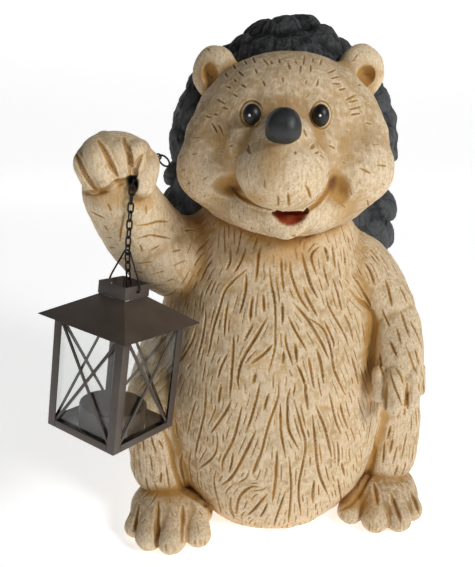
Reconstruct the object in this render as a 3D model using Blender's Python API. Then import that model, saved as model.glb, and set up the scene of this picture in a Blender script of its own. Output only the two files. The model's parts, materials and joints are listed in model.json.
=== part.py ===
"""A cast garden hedgehog with a chunky quill coat, holding a small metal lantern on a chain.

Metres, +Z up. The face looks along -Y, and the origin is on the floor under the belly.
"""

import math

import bmesh
import bpy
import numpy as np
from mathutils import Matrix, Vector
from mathutils.bvhtree import BVHTree

for old in list(bpy.data.objects):
    bpy.data.objects.remove(old)

# The figure is free form, so it is drawn in shares of its height: one drawing unit is 1/420 of it.
FIGURE_HEIGHT = 0.42
UNIT = FIGURE_HEIGHT / 420
SKIN_DETAIL = 2.2
FIGURE_TRIANGLES = 6900
FINE_SHARE = 0.7
FINE_WEIGHT = 2e-5
LEFT, RIGHT = -1, 1

# The trunk stands turned a little to the side of the way the face looks.
BODY_TURN = math.radians(12.5)
BODY_CENTRE = Vector((-9.5, -2, 0))

# Where the chain goes in and out of the fist, and where the lantern's roof leans on the belly.
BORE_MOUTH = (-103.5, -102, 298)
BORE_BACK = (-89.6, -75.4, 314)
ROOF_LEAN = (-61, -83.4, 191.7)

# Space between pieces, and the lantern's sheet metal.
GAP = 0.0003
SHEET = 0.0006

# Lantern, in its own frame: it stands on Z = 0 and its sides face X and Y.
LANTERN_SIDE = 0.0654
LANTERN_HEIGHT = 0.0846
POST_FACE = 0.0068
BOTTOM_RAIL = 0.0055
TOP_RAIL = 0.0045
BRACE_WIDTH = 0.0022
BRACE_DEPTH = 0.0012
BRACE_LAP = 0.001
GLASS_THICKNESS = 0.0012
ROOF_OVERHANG = 0.0087
ROOF_RISE = 0.0178
ROOF_SHEET = 0.0008
COLLAR_SIDE = 0.0256
COLLAR_HEIGHT = 0.0094
CUP_RADIUS = 0.0245
CUP_DROP = 0.004
CUP_WALL = 0.018
LANTERN_TURN = -28.2
LANTERN_LEAN = 7.4
LANTERN_PITCH = -2

# Wire bail: two hooks through the collar and a pointed loop above it.
BAIL_WIRE = 0.0006
BAIL_RISE = 0.0233
BAIL_HOOK = 0.004
BAIL_BEND = 0.0007
BAIL_CLEARANCE = 0.0005

# Chain and stop ring.
LINK_WIRE = 0.00055
LINK_PITCH = 0.006
LINK_WIDTH = 0.005
LINK_SLACK = 0.0006
LINK_TWIST = math.radians(4)
LINK_CORNERS = 5
TAIL_LINKS = 4
BORE_CLEARANCE = 0.0014
RING_HOLD = 0.0009

# Worked out from the sizes above.
HALF = LANTERN_SIDE / 2
ROOF_HALF = HALF + ROOF_OVERHANG
COLLAR_HALF = COLLAR_SIDE / 2
COLLAR_MOUTH = COLLAR_HALF - SHEET
COLLAR_BASE = LANTERN_HEIGHT + ROOF_RISE + GAP
COLLAR_TOP = COLLAR_BASE + COLLAR_HEIGHT
BAIL_PEAK = COLLAR_TOP + BAIL_RISE
BORE_RADIUS = LINK_WIDTH / 2 + BORE_CLEARANCE
RING_RADIUS = BORE_RADIUS + RING_HOLD

STEEL = (0.075, 0.062, 0.055)
BLACK_WIRE = (0.015, 0.015, 0.016)
STONE = (0.56, 0.44, 0.28)
CLEAR = (0.92, 0.94, 0.93)


def at(x, y, z):
    """A point in drawing units, as the face sees it."""
    return Vector((x, y, z)) * UNIT


def on_body(x, y, z):
    """A point in drawing units of the turned trunk."""
    return (BODY_CENTRE + Matrix.Rotation(BODY_TURN, 3, "Z") @ Vector((x, y, z))) * UNIT


def spun(degrees, axis="Z"):
    return Matrix.Rotation(math.radians(degrees), 3, axis)


def arrays_of(mesh):
    """Corner points, the corner numbers round every face in turn, and how many each face has."""
    spots = np.empty(3 * len(mesh.vertices))
    rounds = np.empty(len(mesh.loops), int)
    counts = np.empty(len(mesh.polygons), int)
    mesh.vertices.foreach_get("co", spots)
    mesh.loops.foreach_get("vertex_index", rounds)
    mesh.polygons.foreach_get("loop_total", counts)
    return spots.reshape(-1, 3), rounds, counts


def unit_ball():
    shapes = bmesh.new()
    bmesh.ops.create_icosphere(shapes, subdivisions=3, radius=1)
    mesh = bpy.data.meshes.new("ball")
    shapes.to_mesh(mesh)
    shapes.free()
    return arrays_of(mesh)


BALL = unit_ball()


def add_ball(shapes, centre, radii, turn=None):
    """An ellipsoid: radii in drawing units along its own axes, which turn carries into the figure's."""
    spots, rounds, counts = BALL
    spin = np.array(turn or Matrix.Identity(3))
    shapes.append(((spots * np.array(radii) * UNIT) @ spin.T + np.array(centre), rounds, counts))


def smooth_line(points, steps):
    """Points along a curve that passes through all the given ones (Catmull-Rom)."""
    given = np.array(points, float)
    ends = np.vstack([2 * given[0] - given[1], given, 2 * given[-1] - given[-2]])
    line = []
    for a, b, c, d in zip(ends, ends[1:], ends[2:], ends[3:]):
        for t in np.linspace(0, 1, steps, endpoint=False):
            bend = 2 * a - 5 * b + 4 * c - d
            twist = 3 * b - a - 3 * c + d
            line.append(0.5 * (2 * b + (c - a) * t + bend * t**2 + twist * t**3))
    line.append(given[-1])
    return np.array(line)


def add_limb(shapes, points, radii, depth_share=1.0, beads=8):
    """A tapered limb: a close row of balls along a smooth line, each flattened front to back."""
    line = smooth_line([(*point, radius) for point, radius in zip(points, radii)], beads)
    for x, y, z, radius in line:
        add_ball(shapes, Vector((x, y, z)), (radius, radius * depth_share, radius))


def add_turned(shapes, profile, depth_share, facets=48):
    """A body of revolution about the trunk's axis, from (radius, height) points."""
    spots = []
    for radius, height in profile:
        for angle in np.linspace(0, math.tau, facets, endpoint=False):
            spots.append(on_body(radius * math.cos(angle), radius * depth_share * math.sin(angle), height))
    rounds = []
    for low in range(0, facets * (len(profile) - 1), facets):
        for i in range(facets):
            before = (i - 1) % facets
            rounds += [low + before, low + i, low + facets + i, low + facets + before]
    sides = len(rounds) // 4
    rounds += list(range(facets))[::-1]
    rounds += list(range(facets * (len(profile) - 1), facets * len(profile)))
    shapes.append((np.array(spots), np.array(rounds), np.array([4] * sides + [facets, facets])))


def shapes_of(*meshes):
    return [arrays_of(mesh) for mesh in meshes]


def mesh_of(shapes):
    """One mesh holding all the shapes."""
    mesh = bpy.data.meshes.new("clay")
    starts = np.cumsum([0] + [len(spots) for spots, _, _ in shapes])
    rounds = np.concatenate([rounds + start for (_, rounds, _), start in zip(shapes, starts)])
    counts = np.concatenate([counts for _, _, counts in shapes])
    mesh.vertices.add(starts[-1])
    mesh.vertices.foreach_set("co", np.concatenate([spots for spots, _, _ in shapes]).ravel())
    mesh.loops.add(len(rounds))
    mesh.loops.foreach_set("vertex_index", rounds)
    mesh.polygons.add(len(counts))
    mesh.polygons.foreach_set("loop_start", np.cumsum(counts) - counts)
    mesh.update(calc_edges=True)
    return mesh


def melted(shapes, voxel, rounds):
    """The shapes run together into one skin: a voxel remesh, then smoothed."""
    mesh = mesh_of(shapes)
    helper = bpy.data.objects.new("melt", mesh)
    bpy.context.scene.collection.objects.link(helper)
    remesh = helper.modifiers.new("Skin", "REMESH")
    remesh.mode = "VOXEL"
    remesh.voxel_size = voxel
    smooth = helper.modifiers.new("Soften", "SMOOTH")
    smooth.factor = 0.5
    smooth.iterations = rounds
    graph = bpy.context.evaluated_depsgraph_get()
    skin = bpy.data.meshes.new_from_object(helper.evaluated_get(graph))
    bpy.data.objects.remove(helper)
    bpy.data.meshes.remove(mesh)
    return skin


def surface_of(mesh):
    return BVHTree.FromPolygons([v.co for v in mesh.vertices], [p.vertices for p in mesh.polygons])


def coordinates_of(mesh):
    return arrays_of(mesh)[0]


def normals_of(mesh):
    flat = np.empty(3 * len(mesh.vertices))
    mesh.vertex_normals.foreach_get("vector", flat)
    return flat.reshape(-1, 3)


def carve(mesh, points, width, depth):
    """Draws a groove of that half width and depth into the skin along a line of points."""
    surface = surface_of(mesh)
    line = np.array([surface.find_nearest(Vector(spot))[0] for spot in smooth_line(points, 14)])
    spots = coordinates_of(mesh)
    reach = width * UNIT
    inside = np.all((spots > line.min(0) - reach) & (spots < line.max(0) + reach), axis=1)
    near = np.flatnonzero(inside)
    gaps = np.linalg.norm(spots[near, None] - line[None], axis=2)
    share = gaps.argmin(1) / (len(line) - 1)
    fall = np.clip(1 - (gaps.min(1) / reach) ** 2, 0, 1) ** 1.5
    taper = np.clip(4 * np.minimum(share, 1 - share) + 0.35, 0, 1)
    spots[near] -= normals_of(mesh)[near] * (fall * taper * depth * UNIT)[:, None]
    mesh.vertices.foreach_set("co", spots.ravel())
    mesh.update()


def press(mesh, centre, radii, toward, turn=None):
    """Presses an ellipsoid into the skin: what lies inside it is pushed out of its far side."""
    frame = np.array((turn or Matrix.Identity(3)).transposed()) / (np.array(radii) * UNIT)[:, None]
    spots = coordinates_of(mesh)
    local = (spots - np.array(centre)) @ frame.T
    course = frame @ np.array(Vector(toward).normalized())
    inside = np.flatnonzero((local**2).sum(1) < 1)
    along = local[inside] @ course
    size = course @ course
    travel = (-along + np.sqrt(along**2 + size * (1 - (local[inside] ** 2).sum(1)))) / size
    spots[inside] += travel[:, None] * np.array(Vector(toward).normalized())
    mesh.vertices.foreach_set("co", spots.ravel())
    mesh.update()


def trunk(voxel):
    """Pear-shaped trunk with both shoulders melted into it."""
    shapes = []
    outline = [(48, -14), (63, 2), (86, 34), (100, 84), (101, 132), (96, 180), (82, 226), (66, 262), (40, 290)]
    add_turned(shapes, smooth_line(outline, 6), 0.96)
    add_limb(shapes, [at(-45, 0, 226), at(-76, -26, 227), at(-98, -43, 238)], (40, 36, 32))
    add_limb(shapes, [at(45, 0, 222), at(64, -16, 210), at(81, -32, 190)], (36, 32, 26))
    return melted(shapes, voxel, 10)


def head(voxel):
    """Broad head with full cheeks and a lower jaw, before the muzzle and ears go on."""
    shapes = []
    add_ball(shapes, at(0, -30, 328), (73, 64, 60))
    add_ball(shapes, at(0, -42, 345), (56, 49, 40))
    add_ball(shapes, at(0, -36, 300), (80, 52, 38))
    add_ball(shapes, at(0, -42, 284), (66, 50, 31))
    add_ball(shapes, at(1, -68, 277), (46, 35, 22))
    for side in (LEFT, RIGHT):
        add_ball(shapes, at(side * 48 - 1, -58, 304), (33, 29, 30))
    return melted(shapes, voxel, 40)


def add_fist(shapes):
    """Palm, four fingers curled over the front from left to right, and the thumb."""
    add_ball(shapes, at(-118, -84, 309), (28, 20, 20))
    add_limb(shapes, [at(-138, -80, 315), at(-137, -97, 309), at(-133, -96, 295)], (8, 8.5, 7))
    add_limb(shapes, [at(-128, -78, 321), at(-126, -101, 315), at(-121, -99, 299)], (10, 10.5, 8))
    add_limb(shapes, [at(-113, -77, 322), at(-111, -102, 318), at(-108, -100, 306)], (9, 9, 7))
    add_limb(shapes, [at(-103, -77, 318), at(-101, -97, 318), at(-100, -98, 309)], (7.5, 7, 6))
    add_limb(shapes, [at(-98, -80, 310), at(-97, -93, 303), at(-98, -95, 294)], (9, 9.5, 8.5))


def add_hand(shapes):
    """Four fingers of the hanging hand, from the belly outwards."""
    for x, y, tip, radius in ((75, -74, 134, 6.5), (86, -79, 129, 8.5), (99, -75, 131, 7.5), (106, -66, 136, 6)):
        add_limb(shapes, [at(x, y + 3, 152), at(x, y, tip)], (radius - 1, radius))


def add_foot(shapes, side, centre):
    """Instep and four toes, the outermost one set back."""
    add_ball(shapes, centre + at(0, 4, 14), (36, 40, 25), spun(side * 10))
    for across, front, radius in ((26, -26, 11), (6, -35, 12), (-13, -33, 11.5), (-27, -20, 9.5)):
        toe = [centre + at(-side * across * 0.8, front + 16, 21), centre + at(-side * across, front, 10)]
        add_limb(shapes, toe, (radius, radius))


def add_muzzle(shapes):
    add_ball(shapes, at(-2, -92, 306), (32, 41, 28))
    add_ball(shapes, at(-2, -92, 323), (23, 33, 21))


def add_ears(shapes):
    add_ball(shapes, at(-56, -22, 374), (19, 12, 20), spun(-24) @ spun(18, "Y"))
    add_ball(shapes, at(55, -22, 373), (19, 12, 20), spun(24) @ spun(-18, "Y"))


def fur_form(voxel):
    """All of the figure but its quill coat, before the carving."""
    shapes = shapes_of(trunk(voxel), head(voxel))
    add_limb(shapes, [at(-98, -43, 238), at(-111, -60, 261), at(-120, -80, 288)], (32, 30, 26), 0.8)
    add_limb(shapes, [at(88, -40, 180), at(90, -54, 162), at(90, -62, 144)], (22, 21, 19))
    add_limb(shapes, [at(-88, -20, 150), at(-98, -32, 100), at(-99, -40, 50)], (33, 36, 31))
    add_limb(shapes, [at(78, 8, 128), at(90, 2, 90), at(92, -4, 50)], (32, 34, 31))
    body = melted(shapes, voxel, 4)
    shapes = shapes_of(body)
    add_foot(shapes, LEFT, at(-92, -58, 0))
    add_foot(shapes, RIGHT, at(88, -18, 0))
    add_muzzle(shapes)
    add_ears(shapes)
    body = melted(shapes, voxel, 3)
    shapes = shapes_of(body)
    add_fist(shapes)
    add_hand(shapes)
    return melted(shapes, voxel, 1)


def coat_spot(core, along, across):
    """A point and normal of the coat: along runs 0 to 1 from forehead over the crown, 1 to 2 down the back."""
    roll = math.radians(125) * max(0, 1 - along)
    height = 318 - 300 * max(0, along - 1)
    course = Vector((math.sin(across), math.cos(across) * math.cos(roll), math.cos(across) * math.sin(roll)))
    origin = at(-5, 12, height)
    return core.ray_cast(origin + course, -course)[:2]


def coat_core(voxel):
    shapes = []
    add_ball(shapes, at(-3, 20, 318), (86, 60, 81))
    add_ball(shapes, at(1, 12, 368), (48, 44, 41))
    add_ball(shapes, at(-8, 28, 250), (96, 62, 112))
    add_ball(shapes, on_body(2, 28, 140), (92, 66, 160))
    return melted(shapes, voxel, 10)


def quill_coat(voxel, fur):
    """Rows of rounded lobes lapped over the coat, each row half a lobe round from the one above."""
    core_mesh = coat_core(voxel)
    core = surface_of(core_mesh)
    skin = surface_of(fur)
    shapes = shapes_of(core_mesh)
    for row, along in enumerate(np.arange(0.14, 1.99, 0.085)):
        for step in range(-4, 5):
            across = math.radians(22) * (step + 0.5 * (row % 2))
            spot, normal = coat_spot(core, along, across)
            above = coat_spot(core, along - 0.03, across)[0]
            flow = (spot - above).normalized()
            side = flow.cross(normal).normalized()
            hidden = skin.ray_cast(spot, normal)
            if hidden[0] is not None and hidden[1].dot(normal) > 0:
                continue
            lifted = (flow + 0.4 * normal).normalized()
            turn = Matrix((side, lifted, side.cross(lifted))).transposed()
            add_ball(shapes, spot - 1.5 * UNIT * normal, (15.5, 18, 9.5), turn)
    return melted(shapes, voxel, 2)


def carve_face(mesh):
    """Smile, open mouth, dimples, eye sockets, ear cups and the hollow at the chain's hole."""
    carve(mesh, [at(-40, -78, 294), at(-24, -98, 281), at(0, -106, 273), at(24, -98, 281), at(38, -80, 298)], 3.5, 3)
    press(mesh, at(2, -112, 271), (13, 18, 8), (0, 1, 0.1))
    for side in (LEFT, RIGHT):
        press(mesh, at(side * 39, -90, 294), (7.5, 17, 8), (0, 1, 0))
        press(mesh, at(side * 22.5, -100, 342), (7.5, 9, 8.5), (0, 1, 0))
    press(mesh, at(-59, -40, 371), (8, 14, 11), (0, 1, 0))
    press(mesh, at(59, -40, 370), (9, 14, 9), (0, 1, 0))
    mouth = BORE_RADIUS / UNIT
    press(mesh, at(*BORE_MOUTH) + at(-1, -4, -3), (mouth + 1.1, 11, mouth + 2.6), (0, 1, 0))
    press(mesh, at(*BORE_MOUTH) + at(-1.5, -9, -13), (mouth + 2, 14, mouth + 6), (0, 1, 0))


def carve_limbs(mesh):
    """Ankle creases and the elbow fold."""
    carve(mesh, [at(-122, -52, 30), at(-104, -62, 36), at(-84, -62, 34)], 4, 2.5)
    carve(mesh, [at(84, -26, 38), at(100, -26, 38), at(116, -12, 36)], 4, 2.5)
    carve(mesh, [at(69, -76, 196), at(80, -72, 200), at(94, -60, 206)], 4, 3)


def figure_form(voxel):
    fur = fur_form(voxel)
    carve_face(fur)
    carve_limbs(fur)
    coat = quill_coat(voxel, fur)
    shapes = shapes_of(fur, coat)
    for side in (LEFT, RIGHT):
        add_ball(shapes, at(side * 22.5 - 0.5, -90, 342), (6, 6, 7))
    add_ball(shapes, at(-1.5, -121, 336), (12, 13, 12))
    fur.name = "fur form"
    coat.name = "quill coat"
    return melted(shapes, voxel, 1)


def new_object(name, mesh, colour, roughness, metallic=0.0, see_through=0.0):
    """An object of that name with a material of its own, shaded smooth between its sharp edges."""
    mesh.name = name
    mesh.shade_smooth()
    mesh.set_sharp_from_angle(angle=math.radians(40))
    paint = bpy.data.materials.new(name)
    paint.use_nodes = True
    shader = paint.node_tree.nodes["Principled BSDF"]
    shader.inputs["Base Color"].default_value = (*colour, 1)
    shader.inputs["Roughness"].default_value = roughness
    shader.inputs["Metallic"].default_value = metallic
    shader.inputs["Transmission Weight"].default_value = see_through
    mesh.materials.append(paint)
    made = bpy.data.objects.new(name, mesh)
    bpy.context.scene.collection.objects.link(made)
    return made


def cut(target, name, cutter_mesh):
    """Takes the cutter's solid out of the target."""
    cutter = bpy.data.objects.new(name, cutter_mesh)
    bpy.context.scene.collection.objects.link(cutter)
    cutter.hide_render = True
    cutter.display_type = "WIRE"
    hole = target.modifiers.new(name, "BOOLEAN")
    hole.operation = "DIFFERENCE"
    hole.solver = "EXACT"
    hole.object = cutter


def round_bar(start, end, radius, sides=12):
    """A closed cylinder from start to end."""
    shapes = bmesh.new()
    middle = (start + end) / 2
    turn = (end - start).to_track_quat("Z", "Y").to_matrix().to_4x4()
    bmesh.ops.create_cone(shapes, cap_ends=True, segments=sides, radius1=radius, radius2=radius,
                          depth=(end - start).length, matrix=Matrix.Translation(middle) @ turn)
    return finished(shapes)


def finished(shapes, place=None):
    """A mesh from the shapes, carried to its place, with all faces turned out."""
    if place:
        bmesh.ops.transform(shapes, matrix=place, verts=shapes.verts)
    bmesh.ops.recalc_face_normals(shapes, faces=shapes.faces)
    mesh = bpy.data.meshes.new("piece")
    shapes.to_mesh(mesh)
    shapes.free()
    return mesh


def prism(outline, low, high, place):
    """A flat outline given as (x, y) points, extruded from height low to high."""
    shapes = bmesh.new()
    under = [shapes.verts.new((x, y, low)) for x, y in outline]
    over = [shapes.verts.new((x, y, high)) for x, y in outline]
    shapes.faces.new(under[::-1])
    shapes.faces.new(over)
    for i in range(len(outline)):
        shapes.faces.new((under[i - 1], under[i], over[i], over[i - 1]))
    return finished(shapes, place)


def slab(low, high, place):
    """A box between two opposite corners."""
    return prism([(low[0], low[1]), (high[0], low[1]), (high[0], high[1]), (low[0], high[1])],
                 low[2], high[2], place)


def square_shell(section, place):
    """A four-sided shell from a closed section of (half side, height) points."""
    shapes = bmesh.new()
    rings = []
    for half, height in section:
        corners = ((-half, -half), (half, -half), (half, half), (-half, half))
        rings.append([shapes.verts.new((x, y, height)) for x, y in corners])
    for ring, following in zip(rings, rings[1:] + rings[:1]):
        for i in range(4):
            shapes.faces.new((ring[i - 1], ring[i], following[i], following[i - 1]))
    return finished(shapes, place)


def turned_shell(section, place, sides=24):
    """A round shell from an open section of (radius, height) points that starts and ends on the axis."""
    shapes = bmesh.new()
    rings = []
    for radius, height in section:
        if radius == 0:
            rings.append([shapes.verts.new((0, 0, height))])
        else:
            angles = [math.tau * i / sides for i in range(sides)]
            rings.append([shapes.verts.new((radius * math.cos(a), radius * math.sin(a), height)) for a in angles])
    for ring, following in zip(rings, rings[1:]):
        for i in range(sides):
            if len(ring) == 1:
                shapes.faces.new((ring[0], following[i], following[i - 1]))
            elif len(following) == 1:
                shapes.faces.new((ring[i - 1], ring[i], following[0]))
            else:
                shapes.faces.new((ring[i - 1], ring[i], following[i], following[i - 1]))
    return finished(shapes, place)


def bent_wire(points, facing, radius, sides, closed):
    """A wire swept along points that lie in one plane, whose normal is facing."""
    shapes = bmesh.new()
    count = len(points)
    rings = []
    for i, spot in enumerate(points):
        before = points[i - 1] if closed or i else spot
        after = points[(i + 1) % count] if closed or i < count - 1 else spot
        heading = (after - before).normalized()
        across = facing.cross(heading).normalized()
        miter = 1 / max(0.5, abs((after - spot).normalized().dot(heading))) if after != spot else 1
        ring = []
        for k in range(sides):
            angle = math.tau * (k + 0.5) / sides
            ring.append(shapes.verts.new(spot + radius * (math.cos(angle) * facing + miter * math.sin(angle) * across)))
        rings.append(ring)
    pairs = list(zip(rings, rings[1:])) + ([(rings[-1], rings[0])] if closed else [])
    for ring, following in pairs:
        for k in range(sides):
            shapes.faces.new((ring[k - 1], ring[k], following[k], following[k - 1]))
    if not closed:
        shapes.faces.new(rings[0][::-1])
        shapes.faces.new(rings[-1])
    return finished(shapes)


def lantern_place():
    """The leaning lantern's frame: the roof's inner corner touches the belly."""
    turn = spun(LANTERN_PITCH, "X") @ spun(LANTERN_LEAN, "Y") @ spun(LANTERN_TURN)
    corner = turn @ Vector((ROOF_HALF, ROOF_HALF, LANTERN_HEIGHT))
    return Matrix.Translation(at(*ROOF_LEAN) - corner) @ turn.to_4x4()


LANTERN_PLACE = lantern_place()


def post_outline():
    """The L section of a corner post, at the corner where both coordinates are lowest."""
    near, inner, far = -HALF, -HALF + SHEET, -HALF + POST_FACE
    return [(near, near), (far, near), (far, inner), (inner, inner), (inner, far), (near, far)]


def brace_outline(half_width, half_height):
    """Two crossing bars as one flat outline: four arms that meet in the middle."""
    along = Vector((half_width, half_height)).normalized()
    across = Vector((-along.y, along.x)) * BRACE_WIDTH / 2
    tips = []
    for sign_x, sign_y in ((1, 1), (-1, 1), (-1, -1), (1, -1)):
        tip = Vector((sign_x * half_width, sign_y * half_height))
        if sign_x * sign_y > 0:
            offset = across * sign_x
        else:
            offset = Vector((across.x, -across.y)) * sign_y
        tips.append((tip, offset))
    notch_side = BRACE_WIDTH / 2 / along.y
    notch_end = BRACE_WIDTH / 2 / along.x
    return [
        tips[0][0] - tips[0][1], tips[0][0] + tips[0][1], Vector((0, notch_end)),
        tips[1][0] - tips[1][1], tips[1][0] + tips[1][1], Vector((-notch_side, 0)),
        tips[2][0] - tips[2][1], tips[2][0] + tips[2][1], Vector((0, -notch_end)),
        tips[3][0] - tips[3][1], tips[3][0] + tips[3][1], Vector((notch_side, 0)),
    ]


def roof_underside(half):
    """Height of the roof's lower face at that distance from the lantern's axis."""
    share = (ROOF_HALF - 2 * ROOF_SHEET - half) / (ROOF_HALF - 2 * ROOF_SHEET - COLLAR_MOUTH)
    return LANTERN_HEIGHT + share * (ROOF_RISE - ROOF_SHEET)


def lantern_sides():
    """Posts, rails, braces and panes, made four times round."""
    reach = HALF - POST_FACE - GAP
    rail_inner = -HALF + SHEET
    brace_inner = rail_inner + GAP + BRACE_DEPTH
    pane_face = -brace_inner - GAP
    pane_end = pane_face - GLASS_THICKNESS - GAP
    post_top = roof_underside(HALF) - GAP
    half_height = (LANTERN_HEIGHT - BOTTOM_RAIL - TOP_RAIL) / 2
    for number in range(4):
        place = LANTERN_PLACE @ Matrix.Rotation(math.radians(90 * number), 4, "Z")
        tag = str(number + 1)
        new_object("corner_post_" + tag, prism(post_outline(), 0, post_top, place), STEEL, 0.45, 0.3)
        rail = slab((-reach, -HALF, 0), (reach, rail_inner, BOTTOM_RAIL), place)
        new_object("bottom_rail_" + tag, rail, STEEL, 0.45, 0.3)
        top = slab((-reach, -HALF, LANTERN_HEIGHT - TOP_RAIL), (reach, rail_inner, LANTERN_HEIGHT), place)
        new_object("top_rail_" + tag, top, STEEL, 0.45, 0.3)
        upright = Matrix.Translation((0, brace_inner, BOTTOM_RAIL + half_height)) @ spun(90, "X").to_4x4()
        outline = brace_outline(reach + BRACE_LAP, half_height + BRACE_LAP)
        brace = prism(outline, 0, BRACE_DEPTH, place @ upright)
        new_object("cross_brace_" + tag, brace, STEEL, 0.45, 0.3)
        pane = slab((-pane_end, -pane_face, SHEET + GAP),
                    (pane_face, -pane_face + GLASS_THICKNESS, LANTERN_HEIGHT - GAP), place)
        new_object("glass_pane_" + tag, pane, CLEAR, 0.05, 0, 0.95)


def lantern_middle():
    """Floor tray, candle cup, roof, collar and bail."""
    edge = HALF - SHEET - GAP
    tray = slab((-edge, -edge, 0), (edge, edge, SHEET), LANTERN_PLACE)
    floor = new_object("lantern_floor", tray, STEEL, 0.45, 0.3)
    axis_low = LANTERN_PLACE @ Vector((0, 0, -CUP_DROP))
    axis_high = LANTERN_PLACE @ Vector((0, 0, CUP_DROP))
    cut(floor, "cup_hole", round_bar(axis_low, axis_high, CUP_RADIUS + GAP, 24))
    cup = [(0, -CUP_DROP), (CUP_RADIUS * 0.86, -CUP_DROP), (CUP_RADIUS, -CUP_DROP * 0.3), (CUP_RADIUS, CUP_WALL),
           (CUP_RADIUS - SHEET, CUP_WALL), (CUP_RADIUS - SHEET, 0), (CUP_RADIUS * 0.84, -CUP_DROP + SHEET),
           (0, -CUP_DROP + SHEET)]
    new_object("candle_cup", turned_shell(cup, LANTERN_PLACE), STEEL, 0.45, 0.3)
    low, high = LANTERN_HEIGHT, LANTERN_HEIGHT + ROOF_RISE
    roof = [(ROOF_HALF, low), (COLLAR_MOUTH, high), (COLLAR_MOUTH, high - ROOF_SHEET),
            (ROOF_HALF - 2 * ROOF_SHEET, low)]
    new_object("lantern_roof", square_shell(roof, LANTERN_PLACE), STEEL, 0.4, 0.3)
    collar = [(COLLAR_HALF, COLLAR_BASE), (COLLAR_HALF, COLLAR_TOP),
              (COLLAR_MOUTH, COLLAR_TOP), (COLLAR_MOUTH, COLLAR_BASE)]
    tube = new_object("lantern_collar", square_shell(collar, LANTERN_PLACE), STEEL, 0.4, 0.3)
    hook = (COLLAR_BASE + COLLAR_TOP) / 2
    ends = [LANTERN_PLACE @ Vector((side * COLLAR_SIDE, 0, hook)) for side in (LEFT, RIGHT)]
    cut(tube, "bail_holes", round_bar(*ends, BAIL_WIRE + BAIL_CLEARANCE, 8))
    out = COLLAR_HALF + 3 * BAIL_WIRE
    loop = LINK_WIDTH / 2 + 2 * BAIL_WIRE
    half = [(out - BAIL_HOOK, hook), (out - BAIL_BEND, hook), (out, hook + BAIL_BEND), (out, COLLAR_TOP + BAIL_WIRE),
            (loop, BAIL_PEAK - loop), (0.8 * loop, BAIL_PEAK - 0.4 * loop), (0.4 * loop, BAIL_PEAK - 0.1 * loop)]
    line = half + [(0, BAIL_PEAK)] + [(-x, z) for x, z in half[::-1]]
    path = [LANTERN_PLACE @ Vector((x, 0, z)) for x, z in line]
    facing = LANTERN_PLACE.to_3x3() @ Vector((0, 1, 0))
    new_object("wire_bail", bent_wire(path, facing, BAIL_WIRE, 6, False), BLACK_WIRE, 0.4, 0.6)


def link_mesh(start, end, facing):
    """One oval link from joint to joint, with a little slack at both: facing is its plane's normal."""
    along = (end - start).normalized()
    across = along.cross(facing).normalized()
    facing = across.cross(along)
    bend = LINK_WIDTH / 2 - LINK_WIRE
    straight = ((end - start).length + LINK_SLACK) / 2 + LINK_WIRE - bend
    points = []
    for turned in (0, 180):
        lift = straight if turned == 0 else -straight
        for degrees in np.linspace(-90, 90, LINK_CORNERS):
            angle = math.radians(turned + degrees)
            spot = along * (lift + bend * math.cos(angle)) + across * bend * math.sin(angle)
            points.append((start + end) / 2 + spot)
    return bent_wire(points, facing, LINK_WIRE, 4, True)


def joints_along(route):
    """Points that share a route of straight runs into even steps, each about a link's pitch long."""
    spots = np.array(route)
    marks = np.concatenate([[0], np.cumsum(np.linalg.norm(np.diff(spots, axis=0), axis=1))])
    steps = np.linspace(0, marks[-1], round(marks[-1] / LINK_PITCH) + 1)
    return [Vector([np.interp(step, marks, spots[:, axis]) for axis in range(3)]) for step in steps]


def chain():
    """The run from the bail into the fist and out of its back, the tail below the bail, and the ring."""
    hung = LANTERN_PLACE @ Vector((0, 0, BAIL_PEAK))
    mouth, back = at(*BORE_MOUTH), at(*BORE_BACK)
    rise = (mouth - hung).normalized() * (LINK_PITCH / 2)
    run = [hung - rise] + joints_along([hung + rise, mouth, back])
    tail = [hung - rise + Vector((0, 0, -LINK_PITCH * i)) for i in range(TAIL_LINKS + 1)]
    number = 0
    for joints in (run, tail):
        facing = LANTERN_PLACE.to_3x3() @ Vector((1, 0, 0) if joints is run else (0, 1, 0))
        for start, end in zip(joints, joints[1:]):
            number += 1
            heading = (end - start).normalized()
            new_object("chain_link_" + str(number).zfill(2), link_mesh(start, end, facing), BLACK_WIRE, 0.4, 0.6)
            last = facing
            facing = Matrix.Rotation(LINK_TWIST, 3, heading) @ heading.cross(facing)
        if joints is run:
            stop_ring(end, heading, last)


def stop_ring(joint, heading, through):
    """The ring at the chain's upper end: its wire passes through the last link."""
    across = through.cross(heading).normalized()
    if across.x < 0:
        across.negate()
    middle = joint + across * RING_RADIUS - heading * LINK_SLACK
    points = []
    for angle in np.linspace(0, math.tau, 18, endpoint=False):
        points.append(middle + RING_RADIUS * (math.cos(angle) * across + math.sin(angle) * through))
    new_object("stop_ring", bent_wire(points, heading, LINK_WIRE, 5, True), BLACK_WIRE, 0.4, 0.6)


def fine_spots(made):
    """A vertex group of the face, hands and feet, which keep more of their faces than the rest."""
    spots = coordinates_of(made.data) / UNIT
    face = (spots[:, 1] < -60) & (spots[:, 2] > 250)
    fist = (spots[:, 0] < -85) & (spots[:, 2] > 285)
    hand = (spots[:, 0] > 66) & (spots[:, 1] < -50) & (spots[:, 2] > 110) & (spots[:, 2] < 160)
    feet = (spots[:, 2] < 45) & (np.abs(spots[:, 0]) > 50) & (spots[:, 1] < -15)
    group = made.vertex_groups.new(name="fine")
    group.add(np.flatnonzero(face | fist | hand | feet).tolist(), FINE_SHARE, "REPLACE")
    return group


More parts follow.
